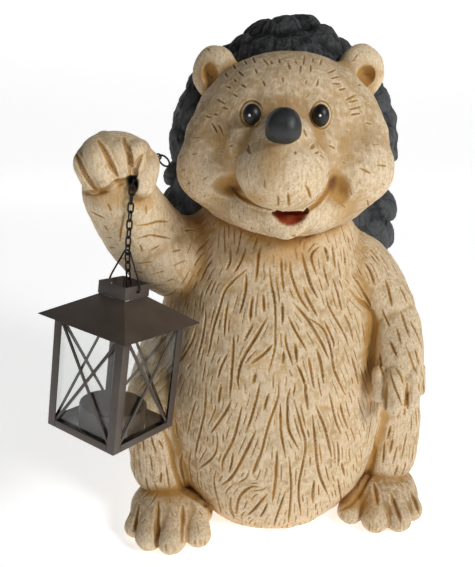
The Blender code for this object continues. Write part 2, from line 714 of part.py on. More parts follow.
def figure():
    """The casting, thinned to flat faces, stood on a flat base and bored for the chain."""
    mesh = figure_form(SKIN_DETAIL * UNIT)
    made = new_object("hedgehog_figure", mesh, STONE, 0.75)
    thin = made.modifiers.new("Fewer faces", "DECIMATE")
    thin.ratio = FIGURE_TRIANGLES / (2 * len(mesh.polygons))
    thin.vertex_group = fine_spots(made).name
    thin.vertex_group_factor = FINE_WEIGHT
    thin.invert_vertex_group = True
    reach = FIGURE_HEIGHT
    cut(made, "ground", slab((-reach, -reach, -reach), (reach, reach, 0), Matrix.Identity(4)))
    mouth, back = at(*BORE_MOUTH), at(*BORE_BACK)
    beyond = (back - mouth).normalized() * 20 * UNIT
    cut(made, "chain_bore", round_bar(mouth - beyond, back + beyond, BORE_RADIUS, 12))


figure()
lantern_sides()
lantern_middle()
chain()
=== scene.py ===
# %% [markdown]
# # A garden hedgehog with a lantern
# The real thing is a cast garden figure, painted by hand: cream over tan, an ochre wash rubbed into the
# carving, and a slate grey coat of chunky quills. It holds a small painted steel lantern on a chain.
# We load the measured model first and keep its box, so that everything dressed here stays true to size.

# %% Load the measured model
import json
import math

import bmesh
import bpy
import numpy as np
from mathutils import Matrix, Vector, noise
from mathutils.bvhtree import BVHTree
from mathutils.kdtree import KDTree


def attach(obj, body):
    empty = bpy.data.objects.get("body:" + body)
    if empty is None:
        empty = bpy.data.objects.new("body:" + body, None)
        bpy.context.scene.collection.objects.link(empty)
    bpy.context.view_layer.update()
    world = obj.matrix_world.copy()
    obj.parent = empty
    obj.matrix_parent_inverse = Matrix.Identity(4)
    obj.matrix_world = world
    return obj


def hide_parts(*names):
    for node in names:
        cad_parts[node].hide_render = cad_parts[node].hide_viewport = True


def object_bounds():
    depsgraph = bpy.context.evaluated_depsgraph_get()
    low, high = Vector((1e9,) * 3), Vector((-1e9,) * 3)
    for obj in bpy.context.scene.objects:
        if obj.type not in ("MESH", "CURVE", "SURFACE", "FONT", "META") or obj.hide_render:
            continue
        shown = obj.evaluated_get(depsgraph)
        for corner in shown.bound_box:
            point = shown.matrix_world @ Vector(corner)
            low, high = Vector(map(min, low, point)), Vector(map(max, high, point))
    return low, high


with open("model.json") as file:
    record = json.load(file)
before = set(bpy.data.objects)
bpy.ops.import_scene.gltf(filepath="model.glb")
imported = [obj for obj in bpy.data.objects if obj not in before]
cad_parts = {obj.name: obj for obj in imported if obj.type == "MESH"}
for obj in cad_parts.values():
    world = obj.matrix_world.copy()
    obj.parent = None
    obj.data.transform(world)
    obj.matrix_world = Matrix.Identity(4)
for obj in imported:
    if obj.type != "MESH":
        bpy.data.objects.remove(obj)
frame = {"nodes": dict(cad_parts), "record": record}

cad_low, cad_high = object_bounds()
print("measured box", [round(side * 1000) for side in cad_high - cad_low], "mm")

# %% [markdown]
# ## Drawing units
# The figure is free form, so it is drawn in shares of its height, as a sculptor works from a sketch: one
# unit is 1/420 of the height. The trunk is turned a little away from where the face looks.

# %% Drawing units
FIGURE_HEIGHT = 0.42
UNIT = FIGURE_HEIGHT / 420
BODY_TURN = math.radians(12.5)
BODY_CENTRE = Vector((-9.5, -2, 0))
LEFT, RIGHT = -1, 1
FORM_VOXEL = 2.2 * UNIT
SKIN_VOXEL = 0.8 * UNIT
COAT_VOXEL = 1.2 * UNIT
chance = np.random.default_rng(12)


def at(x, y, z):
    """A point in drawing units, as the face sees it."""
    return Vector((x, y, z)) * UNIT


def on_body(x, y, z):
    """A point in drawing units of the turned trunk."""
    return (BODY_CENTRE + Matrix.Rotation(BODY_TURN, 3, "Z") @ Vector((x, y, z))) * UNIT


def spun(degrees, axis="Z"):
    """A turn about one axis."""
    return Matrix.Rotation(math.radians(degrees), 3, axis)


print("one unit is", UNIT * 1000, "mm")

# %% [markdown]
# ## The camera
# A figure like this is best seen from a little above, with a moderate lens. We make the camera first, because
# some of the carving is placed one by one: we look through the camera and draw on the skin that we see.

# %% Camera
PICTURE_WIDTH, PICTURE_HEIGHT = 475, 567
LENS, SENSOR = 40.0, 36.0
CAMERA_PLACE = Vector((0, -0.527, 0.342))
CAMERA_DOWN = math.radians(15)
CAMERA_LEFT = math.radians(4.3)


def in_scene(name, data):
    """A new object of that name in the scene, made of the mesh, camera or lamp given."""
    thing = bpy.data.objects.new(name, data)
    bpy.context.scene.collection.objects.link(thing)
    return thing


level = math.cos(CAMERA_DOWN)
forward = Vector((-math.sin(CAMERA_LEFT) * level, math.cos(CAMERA_LEFT) * level, -math.sin(CAMERA_DOWN)))
rightward = Vector((math.cos(CAMERA_LEFT), math.sin(CAMERA_LEFT), 0))
upward = rightward.cross(forward)
camera = in_scene("camera", bpy.data.cameras.new("camera"))
camera.data.lens = LENS
camera.data.sensor_width = SENSOR
camera_turn = Matrix((rightward, upward, -forward)).transposed()
camera.matrix_world = Matrix.Translation(CAMERA_PLACE) @ camera_turn.to_4x4()
bpy.context.scene.camera = camera


def sight_line(across, down):
    """The direction in which the camera sees a pixel of the picture."""
    reach = LENS / SENSOR * PICTURE_HEIGHT
    return (forward * reach + rightward * (across - PICTURE_WIDTH / 2)
            - upward * (down - PICTURE_HEIGHT / 2)).normalized()


print("camera looks along", [round(part, 3) for part in forward])

# %% [markdown]
# ## Lumps of clay
# A sculptor builds a figure from lumps, and so do we: balls, limbs that taper along a curve, and a trunk
# turned like a pot. Each lump is only an array of points and faces in a list. That is much quicker than an
# object for every ball, because a figure like this needs hundreds.

# %% Lumps of clay
def arrays_of(mesh):
    """Corner points, the corner numbers round every face in turn, and how many each face has."""
    spots = np.empty(3 * len(mesh.vertices))
    rounds = np.empty(len(mesh.loops), int)
    counts = np.empty(len(mesh.polygons), int)
    mesh.vertices.foreach_get("co", spots)
    mesh.loops.foreach_get("vertex_index", rounds)
    mesh.polygons.foreach_get("loop_total", counts)
    return spots.reshape(-1, 3), rounds, counts


def written(shapes, mesh):
    """The mesh with the worked shapes written into it."""
    shapes.to_mesh(mesh)
    shapes.free()
    return mesh


def ball_arrays(subdivisions):
    """A ball of radius 1 as arrays."""
    shapes = bmesh.new()
    bmesh.ops.create_icosphere(shapes, subdivisions=subdivisions, radius=1)
    return arrays_of(written(shapes, bpy.data.meshes.new("ball")))


BALL = ball_arrays(4)


def add_ball(shapes, centre, radii, turn=None):
    """An ellipsoid: radii in drawing units along its own axes, which turn carries into the figure's."""
    spots, rounds, counts = BALL
    spin = np.array(turn or Matrix.Identity(3))
    shapes.append(((spots * np.array(radii) * UNIT) @ spin.T + np.array(centre), rounds, counts))


def smooth_line(points, steps=8):
    """Points along a curve that passes through all the given ones (Catmull-Rom)."""
    given = np.array(points, float)
    ends = np.vstack([2 * given[0] - given[1], given, 2 * given[-1] - given[-2]])
    line = []
    for a, b, c, d in zip(ends, ends[1:], ends[2:], ends[3:]):
        for t in np.linspace(0, 1, steps, endpoint=False):
            bend = 2 * a - 5 * b + 4 * c - d
            twist = 3 * b - a - 3 * c + d
            line.append(0.5 * (2 * b + (c - a) * t + bend * t**2 + twist * t**3))
    line.append(given[-1])
    return np.array(line)


def add_limb(shapes, points, radii, depth_share=1.0):
    """A tapered limb: a close row of balls along a smooth line, each flattened front to back."""
    line = smooth_line([(*point, radius) for point, radius in zip(points, radii)])
    for x, y, z, radius in line:
        add_ball(shapes, Vector((x, y, z)), (radius, radius * depth_share, radius))


def add_turned(shapes, profile, depth_share):
    """A body of revolution about the trunk's axis, from (radius, height) points."""
    facets = 48
    spots = []
    for radius, height in profile:
        for angle in np.linspace(0, math.tau, facets, endpoint=False):
            spots.append(on_body(radius * math.cos(angle), radius * depth_share * math.sin(angle), height))
    rounds = []
    for low in range(0, facets * (len(profile) - 1), facets):
        for i in range(facets):
            before = (i - 1) % facets
            rounds += [low + before, low + i, low + facets + i, low + facets + before]
    sides = len(rounds) // 4
    rounds += list(range(facets))[::-1]
    rounds += list(range(facets * (len(profile) - 1), facets * len(profile)))
    shapes.append((np.array(spots), np.array(rounds), np.array([4] * sides + [facets, facets])))


print("a lump of clay has", len(BALL[0]), "points")

# %% [markdown]
# ## Melting
# All the lumps of a list become one mesh. A voxel remesh then melts them into one skin, and a few rounds of
# smoothing soften it. Metaballs could do this too, but a remesh keeps every lump's real size. A modifier
# needs an object to work on, so a helper object is made, read out and thrown away again.

# %% Melt the lumps into one skin
def shapes_of(mesh):
    """A list of shapes that starts with the mesh."""
    return [arrays_of(mesh)]


def mesh_of(shapes):
    """One mesh holding all the shapes."""
    mesh = bpy.data.meshes.new("clay")
    starts = np.cumsum([0] + [len(spots) for spots, _, _ in shapes])
    rounds = np.concatenate([rounds + start for (_, rounds, _), start in zip(shapes, starts)])
    counts = np.concatenate([counts for _, _, counts in shapes])
    mesh.vertices.add(starts[-1])
    mesh.vertices.foreach_set("co", np.concatenate([spots for spots, _, _ in shapes]).ravel())
    mesh.loops.add(len(rounds))
    mesh.loops.foreach_set("vertex_index", rounds)
    mesh.polygons.add(len(counts))
    mesh.polygons.foreach_set("loop_start", np.cumsum(counts) - counts)
    mesh.update(calc_edges=True)
    return mesh


def worked(mesh, name, **settings):
    """The mesh with one modifier's work done on it."""
    helper = in_scene("helper", mesh)
    tool = helper.modifiers.new(name, name)
    for setting, value in settings.items():
        setattr(tool, setting, value)
    graph = bpy.context.evaluated_depsgraph_get()
    made = bpy.data.meshes.new_from_object(helper.evaluated_get(graph))
    bpy.data.objects.remove(helper)
    bpy.data.meshes.remove(mesh)
    return made


def melted(shapes, voxel, rounds):
    """The shapes run together into one skin: a voxel remesh, then smoothed."""
    skin = worked(mesh_of(shapes), "REMESH", mode="VOXEL", voxel_size=voxel)
    return worked(skin, "SMOOTH", factor=0.5, iterations=rounds)


print("the skin's voxels are", round(SKIN_VOXEL * 1000, 2), "mm")

# %% [markdown]
# ## Pressing
# Once there is a skin, we carve it by moving its points: all of them are read as one array, moved, and
# written back. To press a hollow with a clean edge, each point inside an ellipsoid is pushed out of its far
# side.

# %% Move the skin's points
SOFT_EDGE = 1.5 * UNIT


def surface_of(mesh):
    """The mesh as a surface that rays can hit and points can be set down on."""
    return BVHTree.FromPolygons([v.co for v in mesh.vertices], [p.vertices for p in mesh.polygons])


def coordinates_of(mesh):
    return arrays_of(mesh)[0]


def place_points(mesh, spots):
    mesh.vertices.foreach_set("co", spots.ravel())
    mesh.update()


def normals_of(mesh):
    """Which way the skin faces at every point."""
    flat = np.empty(3 * len(mesh.vertices))
    mesh.vertex_normals.foreach_get("vector", flat)
    return flat.reshape(-1, 3)


def press(mesh, centre, radii, toward, below=1.0):
    """Presses an ellipsoid into the skin: what lies inside it is pushed out of its far side."""
    shrink = np.eye(3) / (np.array(radii) * UNIT)[:, None]
    push = np.array(Vector(toward).normalized())
    spots = coordinates_of(mesh)
    local = (spots - np.array(centre)) @ shrink.T
    course = shrink @ push
    inside = np.flatnonzero(((local**2).sum(1) < 1) & (spots[:, 2] < below))
    soft = np.clip((below - spots[inside, 2]) / SOFT_EDGE, 0, 1)
    along = local[inside] @ course
    size = course @ course
    travel = (-along + np.sqrt(along**2 + size * (1 - (local[inside] ** 2).sum(1)))) / size
    spots[inside] += (soft * travel)[:, None] * push
    place_points(mesh, spots)


print("a pressed edge fades over", round(SOFT_EDGE * 1000, 2), "mm")

# %% [markdown]
# ## Body and head
# The trunk is pear-shaped, so it is turned like a pot, and the shoulders melt into it. The head is a stack
# of flattened balls with two full cheeks. Each is softened by itself, because big forms want more smoothing
# than fingers do.

# %% Trunk and head
def trunk():
    """Pear-shaped trunk with both shoulders melted into it."""
    shapes = []
    outline = [(48, -14), (63, 2), (86, 34), (100, 84), (101, 132)]
    outline += [(96, 180), (82, 226), (66, 262), (40, 290)]
    add_turned(shapes, smooth_line(outline, 6), 0.96)
    add_limb(shapes, [at(-45, 0, 226), at(-76, -26, 227), at(-98, -43, 238)], (40, 36, 32))
    add_limb(shapes, [at(45, 0, 222), at(64, -16, 210), at(81, -32, 190)], (36, 32, 26))
    return melted(shapes, FORM_VOXEL, 10)


def head():
    """Broad head with full cheeks and a lower jaw, before the muzzle and ears go on."""
    shapes = []
    add_ball(shapes, at(0, -30, 328), (73, 64, 60))
    add_ball(shapes, at(0, -42, 345), (56, 49, 40))
    add_ball(shapes, at(0, -36, 300), (80, 52, 38))
    add_ball(shapes, at(0, -42, 284), (66, 50, 31))
    add_ball(shapes, at(1, -68, 277), (46, 35, 22))
    for side in (LEFT, RIGHT):
        add_ball(shapes, at(side * 48 - 1, -58, 304), (33, 29, 30))
        add_ball(shapes, at(side * 46, -46, 326), (30, 30, 26))
    return melted(shapes, FORM_VOXEL, 40)


print("trunk and head are drawn")

# %% [markdown]
# ## Arms, legs, feet and hands
# A limb is a row of balls on a curve. The raised fist closes round the chain, so its fingers are short thick
# limbs curled over the palm. Feet, muzzle, ears, fist and hand go on last and are hardly softened, so that
# the creases between them stay crisp.

# %% Limbs
def add_arms_and_legs(shapes):
    """The raised arm, the hanging arm, and the two legs."""
    add_limb(shapes, [at(-98, -43, 238), at(-111, -60, 261), at(-120, -80, 288)], (32, 30, 26), 0.8)
    add_limb(shapes, [at(88, -40, 180), at(90, -54, 162), at(90, -62, 144)], (22, 21, 19))
    add_limb(shapes, [at(-88, -20, 150), at(-98, -32, 100), at(-99, -40, 50)], (33, 36, 31))
    add_limb(shapes, [at(78, 8, 128), at(90, 2, 90), at(92, -4, 50)], (32, 34, 31))


def add_fist(shapes):
    """A dome of knuckles, four fingers curled over it from left to right, and the thumb."""
    add_ball(shapes, at(-118, -84, 309), (28, 20, 20))
    add_ball(shapes, at(-119, -85, 312), (26, 23.5, 19.5))
    add_limb(shapes, [at(-138, -80, 315), at(-137, -97, 309), at(-133, -96, 295)], (8, 8.5, 7))
    add_limb(shapes, [at(-128, -78, 321), at(-126, -101, 315), at(-121, -99, 299)], (10, 10.5, 8))
    add_limb(shapes, [at(-113, -77, 321), at(-112, -98, 317), at(-109, -98, 304)], (9, 9, 7.5))
    add_limb(shapes, [at(-103, -77, 318), at(-101, -97, 318), at(-100, -98, 309)], (7.5, 7, 6))
    add_limb(shapes, [at(-98, -80, 310), at(-97, -93, 303), at(-98, -95, 294)], (9, 9.5, 8.5))


def add_hand(shapes):
    """Four fingers of the hanging hand, from the belly outwards."""
    fingers = ((75, -74, 134, 6.5), (86, -79, 129, 8.5), (99, -75, 131, 7.5), (106, -66, 136, 6))
    for x, y, tip, radius in fingers:
        add_limb(shapes, [at(x, y + 3, 152), at(x, y, tip)], (radius - 1, radius))
    add_ball(shapes, at(92, -66, 144), (17, 15, 15))


def add_foot(shapes, side, centre):
    """Instep and four toes, the outermost one set back."""
    add_ball(shapes, centre + at(0, 4, 14), (36, 40, 25), spun(side * 10))
    for across, front, radius in ((26, -26, 11), (6, -35, 12), (-13, -33, 11.5), (-27, -20, 9.5)):
        toe = [centre + at(-side * across * 0.8, front + 16, 21), centre + at(-side * across, front, 10)]
        add_limb(shapes, toe, (radius, radius))


print("limbs are drawn")

# %% [markdown]
# ## Muzzle, ears and lower lip
# The muzzle swells out of the face without an edge at its sides, so it is melted in softly. The ears and the
# lower lip go on after that. Head, body, feet, fist and hand stay separate lumps that overlap: on the real
# figure a sharp line parts them too, at the neck, the ankles and the wrists.

# %% Pieces of clay
def head_clay():
    """The head with its muzzle melted in, and the ears and lower lip on it."""
    shapes = shapes_of(head())
    add_ball(shapes, at(-2, -92, 306), (32, 41, 28))
    add_ball(shapes, at(-2, -92, 323), (23, 33, 21))
    for side in (LEFT, RIGHT):
        add_ball(shapes, at(side * 25 - 2, -72, 318), (18, 24, 24))
    shapes = shapes_of(melted(shapes, FORM_VOXEL, 12))
    for side in (LEFT, RIGHT):
        add_ball(shapes, at(side * 55.5, -22, 373.5), (19, 12, 20), spun(side * 24) @ spun(-side * 18, "Y"))
    lip = [at(-32, -79, 287), at(-18, -89, 275), at(1, -94.5, 264.5), at(20, -89, 277), at(34, -77, 291)]
    add_limb(shapes, lip, (4, 6, 6.5, 6, 4))
    return melted(shapes, FORM_VOXEL, 3)


def body_clay():
    """The trunk with arms and legs melted in."""
    shapes = shapes_of(trunk())
    add_arms_and_legs(shapes)
    return melted(shapes, FORM_VOXEL, 4)


clay = {"head_fur": shapes_of(head_clay()), "body_fur": shapes_of(body_clay()),
        "left_foot": [], "right_foot": [], "lantern_fist": [], "hanging_hand": []}
add_foot(clay["left_foot"], LEFT, at(-92, -58, 0))
add_foot(clay["right_foot"], RIGHT, at(88, -18, 0))
add_fist(clay["lantern_fist"])
add_hand(clay["hanging_hand"])
print("lumps of clay:", ", ".join(clay))

# %% [markdown]
# ## Hollows
# The mouth, the eye sockets and the ear cups are hollows with an edge, pushed in with a rounded tool: we
# press an ellipsoid into the skin. The dimples at the corners of the smile have no edge, so a soft dish that
# is deepest at its centre suits them. The chain needs a hollow too, at the fist's lower edge. Cutting with
# another solid would leave ragged faces, so we only move points. A plain copy of the whole figure comes out
# of this, and later steps set lines, lobes and paint down on it.

# %% Hollows of the face and the fist
def dent(mesh, centre, radii, depth):
    """Pushes a soft dish into the skin, deepest at its centre."""
    spots = coordinates_of(mesh)
    gap = (((spots - np.array(centre)) / (np.array(radii) * UNIT)) ** 2).sum(1)
    spots[:, 1] += depth * UNIT * np.clip(1 - gap, 0, 1) ** 2
    place_points(mesh, spots)


def carve_face(mesh):
    """Open mouth, dimples, eye sockets and ear cups."""
    press(mesh, at(3.8, -103, 279.5), (12.8, 15, 11), (0, 1, 0.1), below=279.5 * UNIT)
    dent(mesh, at(-38, -90, 294), (16, 34, 10), 6)
    dent(mesh, at(37, -90, 291), (11, 34, 15), 6)
    for side in (LEFT, RIGHT):
        press(mesh, at(side * 22.5, -100, 342), (7.5, 9, 8.5), (0, 1, 0))
    press(mesh, at(-59, -40, 371), (8, 14, 11), (0, 1, 0))
    press(mesh, at(59, -40, 370), (9, 14, 9), (0, 1, 0))


def carve_fist(mesh):
    """The hollow at the fist's lower edge that the chain runs out of."""
    press(mesh, at(-104.5, -106, 296), (5, 15, 6.5), (0, 1, 0))
    press(mesh, at(-105, -111, 285), (5.9, 14, 9.9), (0, 1, 0))


def carved(mesh, name):
    """The piece with the hollows that belong to it."""
    if name == "head_fur":
        carve_face(mesh)
    if name in ("lantern_fist", "body_fur"):
        carve_fist(mesh)
    return mesh


plain_skin = melted([shape for shapes in clay.values() for shape in shapes], FORM_VOXEL, 1)
carve_face(plain_skin)
carve_fist(plain_skin)
plain_surface = surface_of(plain_skin)
print("the plain skin has", len(plain_skin.vertices), "points")

# %% [markdown]
# ## The quill coat
# From the forehead over the crown and down the back lie rows of thick rounded lobes, each lapped over the
# next row like roof tiles and half a lobe round from it. We cast rays at a smooth core to place each lobe,
# and tilt it outwards at its tip. A lobe that would lie under the fur is left out.

# %% Quill coat
COAT_AXIS = (-5, 12)
COAT_TOP, COAT_DROP = 318, 300
CROWN_ROLL = math.radians(125)
FIRST_ROW, LAST_ROW, ROW_GAP = 0.14, 1.99, 0.085
LOBES_ASIDE = 4
LOBE_TURN = math.radians(22)
LOBE_WIDTH, LOBE_LENGTH, LOBE_THICKNESS, LOBE_SINK = 15.5, 18, 9.5, 1.5


def coat_spot(core, along, across):
    """A point and normal of the coat: along runs from 0 to 1 over the crown, and to 2 down the back."""
    roll = CROWN_ROLL * max(0, 1 - along)
    height = COAT_TOP - COAT_DROP * max(0, along - 1)
    course = Vector((math.sin(across), math.cos(across) * math.cos(roll), math.cos(across) * math.sin(roll)))
    origin = at(*COAT_AXIS, height)
    return core.ray_cast(origin + course, -course)[:2]


def coat_core():
    """The smooth form under the quills."""
    shapes = []
    add_ball(shapes, at(-3, 20, 318), (86, 60, 81))
    add_ball(shapes, at(1, 12, 368), (48, 44, 41))
    add_ball(shapes, at(-8, 28, 250), (96, 62, 112))
    add_ball(shapes, on_body(2, 28, 140), (92, 66, 160))
    return melted(shapes, FORM_VOXEL, 10)


def quill_coat():
    """Rows of rounded lobes lapped over the coat, each row half a lobe round from the one above."""
    core_mesh = coat_core()
    core = surface_of(core_mesh)
    shapes = shapes_of(core_mesh)
    add_ball(shapes, at(-1, 0, 366), (52, 42, 41.5))
    for row, along in enumerate(np.arange(FIRST_ROW, LAST_ROW, ROW_GAP)):
        for step in range(-LOBES_ASIDE, LOBES_ASIDE + 1):
            across = LOBE_TURN * (step + 0.5 * (row % 2))
            spot, normal = coat_spot(core, along, across)
            above = coat_spot(core, along - 0.03, across)[0]
            flow = (spot - above).normalized()
            side = flow.cross(normal).normalized()
            hidden = plain_surface.ray_cast(spot, normal)
            if hidden[0] is not None and hidden[1].dot(normal) > 0:
                continue
            lifted = (flow + chance.uniform(0.3, 0.5) * normal).normalized()
            turn = Matrix((side, lifted, side.cross(lifted))).transposed()
            size = chance.uniform(0.92, 1.06)
            radii = (LOBE_WIDTH * size, LOBE_LENGTH, LOBE_THICKNESS * size)
            add_ball(shapes, spot - LOBE_SINK * UNIT * normal, radii, turn)
    return melted(shapes, COAT_VOXEL, 3)


coat_mesh = quill_coat()
coat_surface = surface_of(coat_mesh)
print("the coat has", len(coat_mesh.vertices), "points")

# %% [markdown]
# ## Rough quills
# The lobes on the real coat look hacked with a knife: lumpy, with thin cracks running down each one. A
# little noise pushed along the normals gives the lumps, and the line where a second noise passes zero gives
# the cracks. Three-dimensional noise has no seam and needs no UV map.

# %% Roughen the quills
CRACK_WIDTH = 0.07


def lumpy(mesh, size, height, seed, fade=(1, 2)):
    """Pushes the skin in and out by soft noise. Behind the fade, in metres of y, nothing is moved."""
    spots = coordinates_of(mesh)
    shift = Vector((seed, 2 * seed, 0))
    lift = np.array([noise.noise(Vector(spot) / (size * UNIT) + shift) for spot in spots])
    lift *= np.clip((fade[1] - spots[:, 1]) / (fade[1] - fade[0]), 0, 1)
    place_points(mesh, spots + normals_of(mesh) * (lift * height * UNIT)[:, None])


def cracked(mesh, depth):
    """Cuts thin cracks that run down the quills."""
    spots = coordinates_of(mesh)
    cut = np.empty(len(spots))
    for i, (x, y, z) in enumerate(spots / UNIT):
        round_about = math.atan2(x - COAT_AXIS[0], y - COAT_AXIS[1])
        ground = noise.noise(Vector((round_about * 7, z / 22, math.hypot(x, y) / 24)))
        cut[i] = max(0, 1 - abs(ground) / CRACK_WIDTH)
    place_points(mesh, spots - normals_of(mesh) * (cut * depth * UNIT)[:, None])


lumpy(coat_mesh, 12, 1.9, 3)
lumpy(coat_mesh, 3.4, 0.55, 7)
cracked(coat_mesh, 1.1)
print("quills roughened")

# %% [markdown]
# ## Where the fur runs
# The strokes are gouged with a loop tool into the wet clay. On the belly they hang down and fan out from the
# throat, then close in again at the bottom. On the head they are short scratches that run away from the nose.
# So we need a direction at every place on the skin, and a spacing, a length and a width that fit the place.

# %% Fur flow
NOSE = at(-1.5, -121, 336)


def fur_zone(spot):
    """Which part of the figure a point is on: x and z in drawing units decide."""
    x, y, z = spot / UNIT
    if z > 283 and x < -88:
        return "fist"
    if z > 262 + 0.12 * abs(x) and x > -86:
        return "head"
    if x < -72 and z > 212:
        return "raised arm"
    if z < 46 and abs(x) > 48:
        return "foot"
    if x > 66 and y < -26 and 126 < z < 156:
        return "hand"
    if x > 60 and 156 <= z < 222:
        return "hanging arm"
    if abs(x) > 68 and z < 128:
        return "leg"
    return "belly"


# For each zone: the shortest and longest stroke, the space between two, their half width and their depth.
STROKES = {
    "belly": (7, 24, 3.1, 0.45, 0.8),
    "leg": (12, 28, 4.8, 0.8, 1.2),
    "hanging arm": (12, 30, 4.8, 0.8, 1.2),
    "raised arm": (5, 13, 8, 0.6, 0.6),
    "foot": (5, 10, 8, 0.6, 0.5),
    "head": (3.5, 8.5, 12, 0.5, 0.5),
}
print("zones with strokes:", ", ".join(STROKES))

# %% [markdown]
# ## Lines drawn one by one
# Some lines have to be just where they are: the grooves between fingers and toes, the smile, the folds where
# the limbs meet the belly. We look through the camera, mark each on the picture, and let the sight lines
# carry the marks onto the skin.

# %% Lines seen through the camera
# For each kind of line: its half width and depth in drawing units, and where each line passes in the picture.
SEEN_LINES = {
    "finger grooves": (1.5, 3.0, [
        [(75.5, 152), (78.5, 160), (83, 170), (88.5, 180), (94.5, 188), (98.5, 190.5)],
        [(98, 140.5), (103, 148.5), (108.5, 159.5), (113, 168.5), (117, 175.5)],
        [(123, 137), (126.5, 147), (129.5, 155.5), (130.5, 165.5), (130, 174.5)],
        [(143, 154.5), (138.5, 161.5), (135.5, 168.5), (135, 176.5)],
    ]),
    "fist crease": (2.2, 2.4, [
        [(81.5, 192), (90, 193), (100, 191.5), (108.5, 188.5), (115.5, 183), (123, 180.5), (129, 178)],
    ]),
    "hand grooves": (1.6, 2.2, [
        [(386.3, 382.5), (385.4, 396), (385.1, 410)],
        [(407.2, 384), (406, 399), (404.4, 414)],
        [(419, 384), (420.6, 393), (420.4, 403)],
    ]),
    "toe grooves": (1.8, 2.6, [
        [(138.5, 505), (136.1, 523.3), (135.5, 545)],
        [(157.9, 502), (156.7, 525.8), (156.7, 548)],
        [(182.7, 506), (182.7, 525.8), (182.1, 543)],
        [(391.2, 494), (396, 508), (400.8, 522)],
        [(410.6, 492), (415, 501), (418.5, 512)],
        [(373.9, 484), (376, 494), (377.5, 505)],
    ]),
    "limb folds": (2.6, 2.2, [
        [(163.3, 430), (170.6, 448), (175.5, 472), (184, 489.4), (207, 505.2), (221, 516)],
        [(379, 421), (374.5, 445), (373, 460), (368.8, 474.7), (354.5, 500), (338, 512)],
        [(350, 290), (359, 299.5), (370, 309), (373.6, 325.7), (372.4, 354), (371.5, 390)],
    ]),
    "smile": (1.7, 3.0, [
        [(233, 188), (240, 196), (252, 203), (262, 207.5), (275, 210.5), (290, 211.5), (305, 210.5),
         (316, 204), (327, 192), (335, 177)],
    ]),
    "muzzle strokes": (0.8, 0.9, [
        [(278.2, 196), (278.0, 206)], [(287.6, 192.5), (289.2, 206)],
        [(304.8, 184.5), (308, 190), (311, 198.5)],
        [(318, 195), (315, 203)], [(314.5, 143.5), (310.5, 149)], [(305, 131), (306.5, 136)],
        [(320, 155), (324, 158)], [(247, 148), (251, 154)], [(327, 178), (330, 170)],
    ]),
    "forearm strokes": (0.75, 0.8, [
        [(124.5, 211.5), (123, 220), (120.5, 233), (120, 241.5)],
        [(91.5, 211.5), (98.5, 215.5), (104.5, 218.5)],
        [(93, 220), (97, 224.5)], [(137, 225.5), (148.5, 224.5), (157, 222), (168.5, 221.5)],
        [(137, 238.5), (145.5, 236.5), (153, 235.5), (170, 238.5)], [(140, 244.5), (142, 251.5)],
    ]),
}
EYE_RINGS = ((240.5, 262.5, 101, 126), (311, 331.5, 101, 128.5))
EYE_RING_WIDTH, EYE_RING_DEPTH = 0.7, 0.7


def seen_on_skin(across, down):
    """Where the camera's sight line through a pixel meets the skin."""
    return plain_surface.ray_cast(CAMERA_PLACE, sight_line(across, down))[0]


def seen_line(pixels):
    """A smooth line through pixels of the picture, carried onto the skin."""
    marks = [seen_on_skin(*mark) for mark in smooth_line(pixels)]
    return np.array([spot for spot in marks if spot is not None])


strokes = []
for width, depth, lines in SEEN_LINES.values():
    strokes += [(seen_line(pixels), width, depth) for pixels in lines]
for left, right, top, bottom in EYE_RINGS:
    middle = ((left + right) / 2, (top + bottom) / 2)
    reach = ((right - left) / 2, (bottom - top) / 2)
    ring = [(middle[0] + reach[0] * math.cos(turn), middle[1] + reach[1] * math.sin(turn))
            for turn in np.linspace(0, math.tau, 13)]
    strokes.append((seen_line(ring), EYE_RING_WIDTH, EYE_RING_DEPTH))
print(len(strokes), "lines placed by eye")
